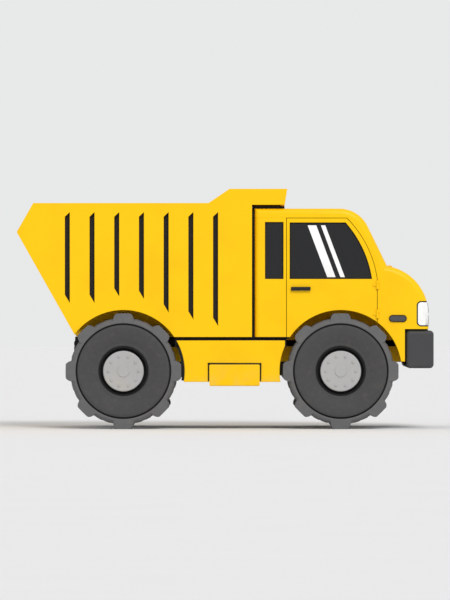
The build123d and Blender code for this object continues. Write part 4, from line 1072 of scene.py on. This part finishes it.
WIPER_PLACES = ((0.86, 0.52), (-0.10, -0.44))  # Y of the pivot and of the blade's middle
wipers, rubbers = bmesh.new(), bmesh.new()
for pivot_y, tip_y in WIPER_PLACES:
    pivot = on_screen(pivot_y, 0.040, 0.0)
    knee = on_screen(pivot_y - 0.06, 0.075, 0.004)
    tip = on_screen(tip_y, 0.118, 0.008 - GLASS_DEPTH + 0.010)
    add_disc(wipers, pivot, off_screen, 0.017, 0.014, 20, top=0.014)
    add_bar(wipers, on_screen(pivot_y, 0.040, 0.010), knee, 0.016, 0.006, off_screen)
    add_bar(wipers, knee, tip, 0.011, 0.005, off_screen)
    start = on_screen(tip_y - BLADE_HALF, 0.112, 0.003 - GLASS_DEPTH)
    end = on_screen(tip_y + BLADE_HALF, 0.118, 0.003 - GLASS_DEPTH)
    add_bar(rubbers, start, end, 0.006, 0.010, off_screen)
    lift = off_screen * 0.007
    add_bar(wipers, start + lift, end + lift, 0.012, 0.004, off_screen)
piece("wiper_arms", wipers, "plastic", edge=0.0015)
piece("wiper_rubbers", rubbers, "rubber_seal")
print("wipers", len(WIPER_PLACES))

# %% [markdown]
# Inside the cab the dashboard gets two round dials with raised rings, four air vents and a thin trim bar.
# Two pedals stand below it, and each door has an armrest with a pull. The dials carry marks but no words.
# Dials that were only painted on would look flat from the open door, so rings are spun and the rest is
# built from small boxes.

# %% Cab fittings
DASH_FACE_X, DIAL_Z = 1.900, 2.046
DIAL_OFFSET, DIAL_MARKS = 0.105, 9
VENT_PLACES = (0.96, 0.14, -0.14, -0.96)
PEDAL_PLACES = (0.46, 0.62)
FORWARD = Vector((1, 0, 0))
dials, faces, needles = bmesh.new(), bmesh.new(), bmesh.new()
for offset in (-DIAL_OFFSET, DIAL_OFFSET):
    centre = Vector((DASH_FACE_X, SEAT_Y + offset, DIAL_Z))
    add_ring(dials, centre, FORWARD, [(0.033, 0.001), (0.033, -0.006), (0.036, -0.009), (0.040, -0.006),
                                      (0.040, 0.001)], steps=40)
    add_disc(faces, centre - FORWARD * 0.002, FORWARD, 0.0335, 0.004, 40)
    foot = centre - FORWARD * 0.0028
    for index in range(DIAL_MARKS):
        angle = math.radians(-30 + 30 * index)
        reach = Vector((0, math.cos(angle), math.sin(angle)))
        add_bar(needles, foot + reach * 0.026, foot + reach * 0.031, 0.0016, 0.001, FORWARD)
    add_bar(needles, foot - reach * 0.004, foot + Vector((0, 0.30, 0.95)).normalized() * 0.025, 0.002, 0.0014,
            FORWARD)
vents = bmesh.new()
for y in VENT_PLACES:
    add_ring(vents, (DASH_FACE_X, y, DIAL_Z), FORWARD, [(0.030, 0.001), (0.030, -0.008), (0.037, -0.008),
                                                       (0.038, 0.001)], steps=4)
    for slat in range(4):
        z = 2.031 + slat * 0.010
        add_box(vents, (DASH_FACE_X - 0.006, y - 0.022, z - 0.0015),
                (DASH_FACE_X + 0.001, y + 0.022, z + 0.0015))
add_box(vents, (DASH_FACE_X - 0.007, -0.075, 2.006), (DASH_FACE_X + 0.001, 0.075, 2.010))
for y in PEDAL_PLACES:
    add_box(vents, (1.905, y - 0.035, 1.822), (1.917, y + 0.035, 1.912),
            Matrix.Rotation(math.radians(-25), 4, "Y"))
    add_box(vents, (1.915, y - 0.010, 1.880), (1.984, y + 0.010, 1.892))
piece("dashboard_dial_rings", dials, "chrome")
piece("dashboard_dial_faces", faces, "rubber_seal")
piece("dashboard_dial_marks", needles, "film")
piece("dashboard_vents_and_pedals", vents, "plastic", edge=0.001)

for side, pad, pull in zip(SIDES, both_sides(1.148, 1.192), both_sides(1.152, 1.192)):
    rest = bmesh.new()
    add_box(rest, (1.12, pad[0], 1.995), (1.58, pad[1], 2.035))
    add_box(rest, (1.50, pull[0], 1.930), (1.53, pull[1], 2.000))
    round_edges(piece(f"door_armrest_{side}", rest, "plastic", f"door_{side}"), 0.010, 3)
print("vents", len(VENT_PLACES), "pedals", len(PEDAL_PLACES), "armrests", len(SIDES))

# %% [markdown]
# Springs are clamped to their axles by U-bolts: a plate on the leaves, a plate under the axle and four rods
# with nuts between them. A bolted cover closes the rear axle's differential. Pins with round heads close
# the bed's hinge and the hoist's feet. Discs, boxes and one spun cover are enough, since these parts are
# only seen past the wheels and under the raised bed.

# %% Clamps and pins below
CLAMP_PLATE, CLAMP_MARGIN = 0.013, 0.017


def clamp(shape, x, y, half_x, half_y, low_z, high_z):
    """A plate above, a plate below and four rods with nuts."""
    reach_x, reach_y = half_x + CLAMP_MARGIN, half_y + CLAMP_MARGIN
    for z in (low_z, high_z):
        add_box(shape, (x - reach_x, y - reach_y, z), (x + reach_x, y + reach_y, z + CLAMP_PLATE))
    for rod_x in (x - half_x, x + half_x):
        for rod_y in (y - half_y, y + half_y):
            add_disc(shape, (rod_x, rod_y, low_z - 0.022), (0, 0, 1), 0.0075, high_z - low_z + 0.047, 14)
            add_disc(shape, (rod_x, rod_y, low_z - 0.014), (0, 0, 1), 0.0145, 0.014, 6)
            add_disc(shape, (rod_x, rod_y, high_z + CLAMP_PLATE), (0, 0, 1), 0.0145, 0.011, 6)


clamps = bmesh.new()
for sign in (1, -1):
    clamp(clamps, REAR_AXLE_X, sign * 0.465, 0.108, 0.050, 0.694, 0.992)
    clamp(clamps, FRONT_AXLE_X, sign * 0.345, 0.072, 0.050, 0.676, 0.857)
COVER_BOLTS, COVER_BOLT_R = 12, 0.095
for index in range(COVER_BOLTS):
    angle = math.tau * index / COVER_BOLTS
    foot = (REAR_AXLE_X - 0.150, COVER_BOLT_R * math.cos(angle), AXLE_Z + COVER_BOLT_R * math.sin(angle))
    add_disc(clamps, foot, (-1, 0, 0), 0.012, 0.016, 6)
add_ring(clamps, (REAR_AXLE_X - 0.152, 0, AXLE_Z), FORWARD,
         [(0.001, -0.034), (0.060, -0.030), (0.078, -0.018), (0.118, -0.012), (0.118, 0.010), (0.001, 0.010)],
         steps=48)
piece("axle_clamps", clamps, "iron", edge=0.001)

HINGE_X, HINGE_Z = -2.060, 1.190
pins = bmesh.new()
runner_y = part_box("bed_runners")[1].y
for sign in (1, -1):
    for depth, radius in ((0.010, 0.040), (0.018, 0.026)):
        add_disc(pins, (HINGE_X, sign * (runner_y - 0.001), HINGE_Z), (0, sign, 0), radius, depth, 28,
                 top=radius - 0.003)
piece("bed_hinge_pins", pins, "iron", "bed", edge=0.001)

HOIST_FOOT_X, HOIST_FOOT_Z = 0.200, 0.800
feet = bmesh.new()
hoist_half_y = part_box("hoist_barrels")[1].y
for sign in (1, -1):
    add_disc(feet, (HOIST_FOOT_X, sign * (hoist_half_y - 0.001), HOIST_FOOT_Z), (0, sign, 0), 0.026, 0.010,
             24, top=0.022)
piece("hoist_foot_pins", feet, "iron", "hoist_barrels", edge=0.001)
print("clamps", 4, "cover bolts", COVER_BOLTS, "pins", 4)

# %% [markdown]
# The bed's plates are welded from the inside. A weld shows as a fine uneven bead, so a thin rod runs along
# each corner of floor and wall, and its points are pushed in and out by a wave to give the ripples of the
# bead.

# %% Weld beads in the bed
def weld_bead(shape, start, end, radius=0.008, pitch=0.011, ripple=0.22):
    """A thin rod with the ripples that a welder leaves."""
    start, end = Vector(start), Vector(end)
    length = (end - start).length
    rows = max(8, int(length / (pitch / 2)))
    turn = Vector((0, 0, 1)).rotation_difference(end - start).to_matrix().to_4x4()
    made = bmesh.ops.create_cone(shape, cap_ends=True, segments=8, radius1=radius, radius2=radius,
                                 depth=length, matrix=Matrix.Translation((start + end) / 2) @ turn)["verts"]
    sides = [edge for edge in {edge for vert in made for edge in vert.link_edges}
             if abs((edge.verts[0].co - edge.verts[1].co).length - length) < 1e-4]
    grown = bmesh.ops.subdivide_edges(shape, edges=sides, cuts=rows, use_grid_fill=True)["geom_inner"]
    direction = (end - start).normalized()
    for vert in only_verts(grown):
        along = (vert.co - start).dot(direction)
        core = start + direction * along
        vert.co = core + (vert.co - core) * (1.0 + ripple * math.sin(math.tau * along / pitch))


wall_low, wall_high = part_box("bed_front_wall")
wall_y = wall_high.y - 0.001
front_face_x = wall_low.x
floor_z = 1.358
BEAD_TOP_Z, BEAD_REAR_X = 3.10, -0.560
beads = bmesh.new()
weld_bead(beads, (front_face_x, -wall_y, floor_z), (front_face_x, wall_y, floor_z))
for sign in (1, -1):
    weld_bead(beads, (front_face_x, sign * wall_y, floor_z), (front_face_x, sign * wall_y, BEAD_TOP_Z))
    weld_bead(beads, (front_face_x, sign * wall_y, floor_z), (BEAD_REAR_X, sign * wall_y, floor_z))
piece("bed_weld_beads", beads, "bed_inside", "bed", 60.0)
print("weld beads", 5)

# %% [markdown]
# The studio: one big pale floor and an even sky. The sky that lights the truck is dimmer than the sky that
# the camera sees, so the background stays pale while the paint keeps its written colour. A wide, soft sun
# from behind the camera draws gentle shadows under edges.

# %% Floor, sky and sun
BACKDROP = srgb(232, 233, 233)
SKY_LIGHT = 0.62
SUN_LIGHT = 1.45
FLOOR_HALF, FLOOR_DEPTH = 160, 0.4

floor_shape = bmesh.new()
add_box(floor_shape, (-FLOOR_HALF, -FLOOR_HALF, -FLOOR_DEPTH), (FLOOR_HALF, FLOOR_HALF, 0.0))
studio_floor = mesh_object("studio_floor", floor_shape)
floor_finish = Finish("studio floor")
floor_colour = floor_finish.mix(floor_finish.noise(0.8), srgb(243, 243, 244), srgb(240, 240, 241))
floor_finish.set(Base_Color=floor_colour,
                 Roughness=floor_finish.noise(3.0) * 0.05 + 0.9, Specular_IOR_Level=0.1)
studio_floor.data.materials.append(floor_finish.material)

sky = bpy.data.worlds.new("studio sky")
sky.use_nodes = True
sky.node_tree.nodes.clear()


def sky_node(kind, *values, operation=None):
    """A node of the sky, with a value or a link for each of its first sockets, and its outputs."""
    made = sky.node_tree.nodes.new(kind)
    if operation:
        made.operation = operation
    for socket, value in zip(made.inputs, values):
        if isinstance(value, bpy.types.NodeSocket):
            sky.node_tree.links.new(value, socket)
        else:
            socket.default_value = value
    return made.outputs


rays = sky_node("ShaderNodeLightPath")
seen = rays["Is Camera Ray"]
for other in ("Is Glossy Ray", "Is Transmission Ray"):
    seen = sky_node("ShaderNodeMath", seen, rays[other], operation="MAXIMUM")[0]
lit = sky_node("ShaderNodeBackground", (1.0, 1.0, 1.0, 1.0), SKY_LIGHT)[0]
shown = sky_node("ShaderNodeBackground", BACKDROP, 1.0)[0]
sky_node("ShaderNodeOutputWorld", sky_node("ShaderNodeMixShader", seen, lit, shown)[0])
bpy.context.scene.world = sky

sun = bpy.data.lights.new("soft sun", "SUN")
sun.energy = SUN_LIGHT
sun.angle = math.radians(25)
in_scene("soft sun", sun).rotation_euler = (math.radians(48), math.radians(6), math.radians(12))
bpy.context.scene.view_settings.view_transform = "Standard"
print("sky", SKY_LIGHT, "sun", SUN_LIGHT)

# %% [markdown]
# The view is a plain side elevation. A long lens from far away keeps every vertical straight and hides
# nearly all of the far side, which is how such machines are drawn and compared.

# %% Camera
VIEW_HEIGHT = 8.4
VIEW_DISTANCE = 90.0
aim = Vector((-0.003, -1.25, 1.806))
camera = bpy.data.cameras.new("side view")
camera.type = "PERSP"
camera.sensor_width = 36.0
camera.lens = 36.0 * VIEW_DISTANCE / VIEW_HEIGHT
camera.clip_start = 1.0
camera.clip_end = 500.0
camera_object = in_scene("side view", camera)
camera_object.location = aim + Vector((0, -VIEW_DISTANCE, 0))
camera_object.rotation_euler = (math.radians(90), 0, 0)
bpy.context.scene.camera = camera_object
print("lens", round(camera.lens, 1), "mm from", VIEW_DISTANCE, "m away")
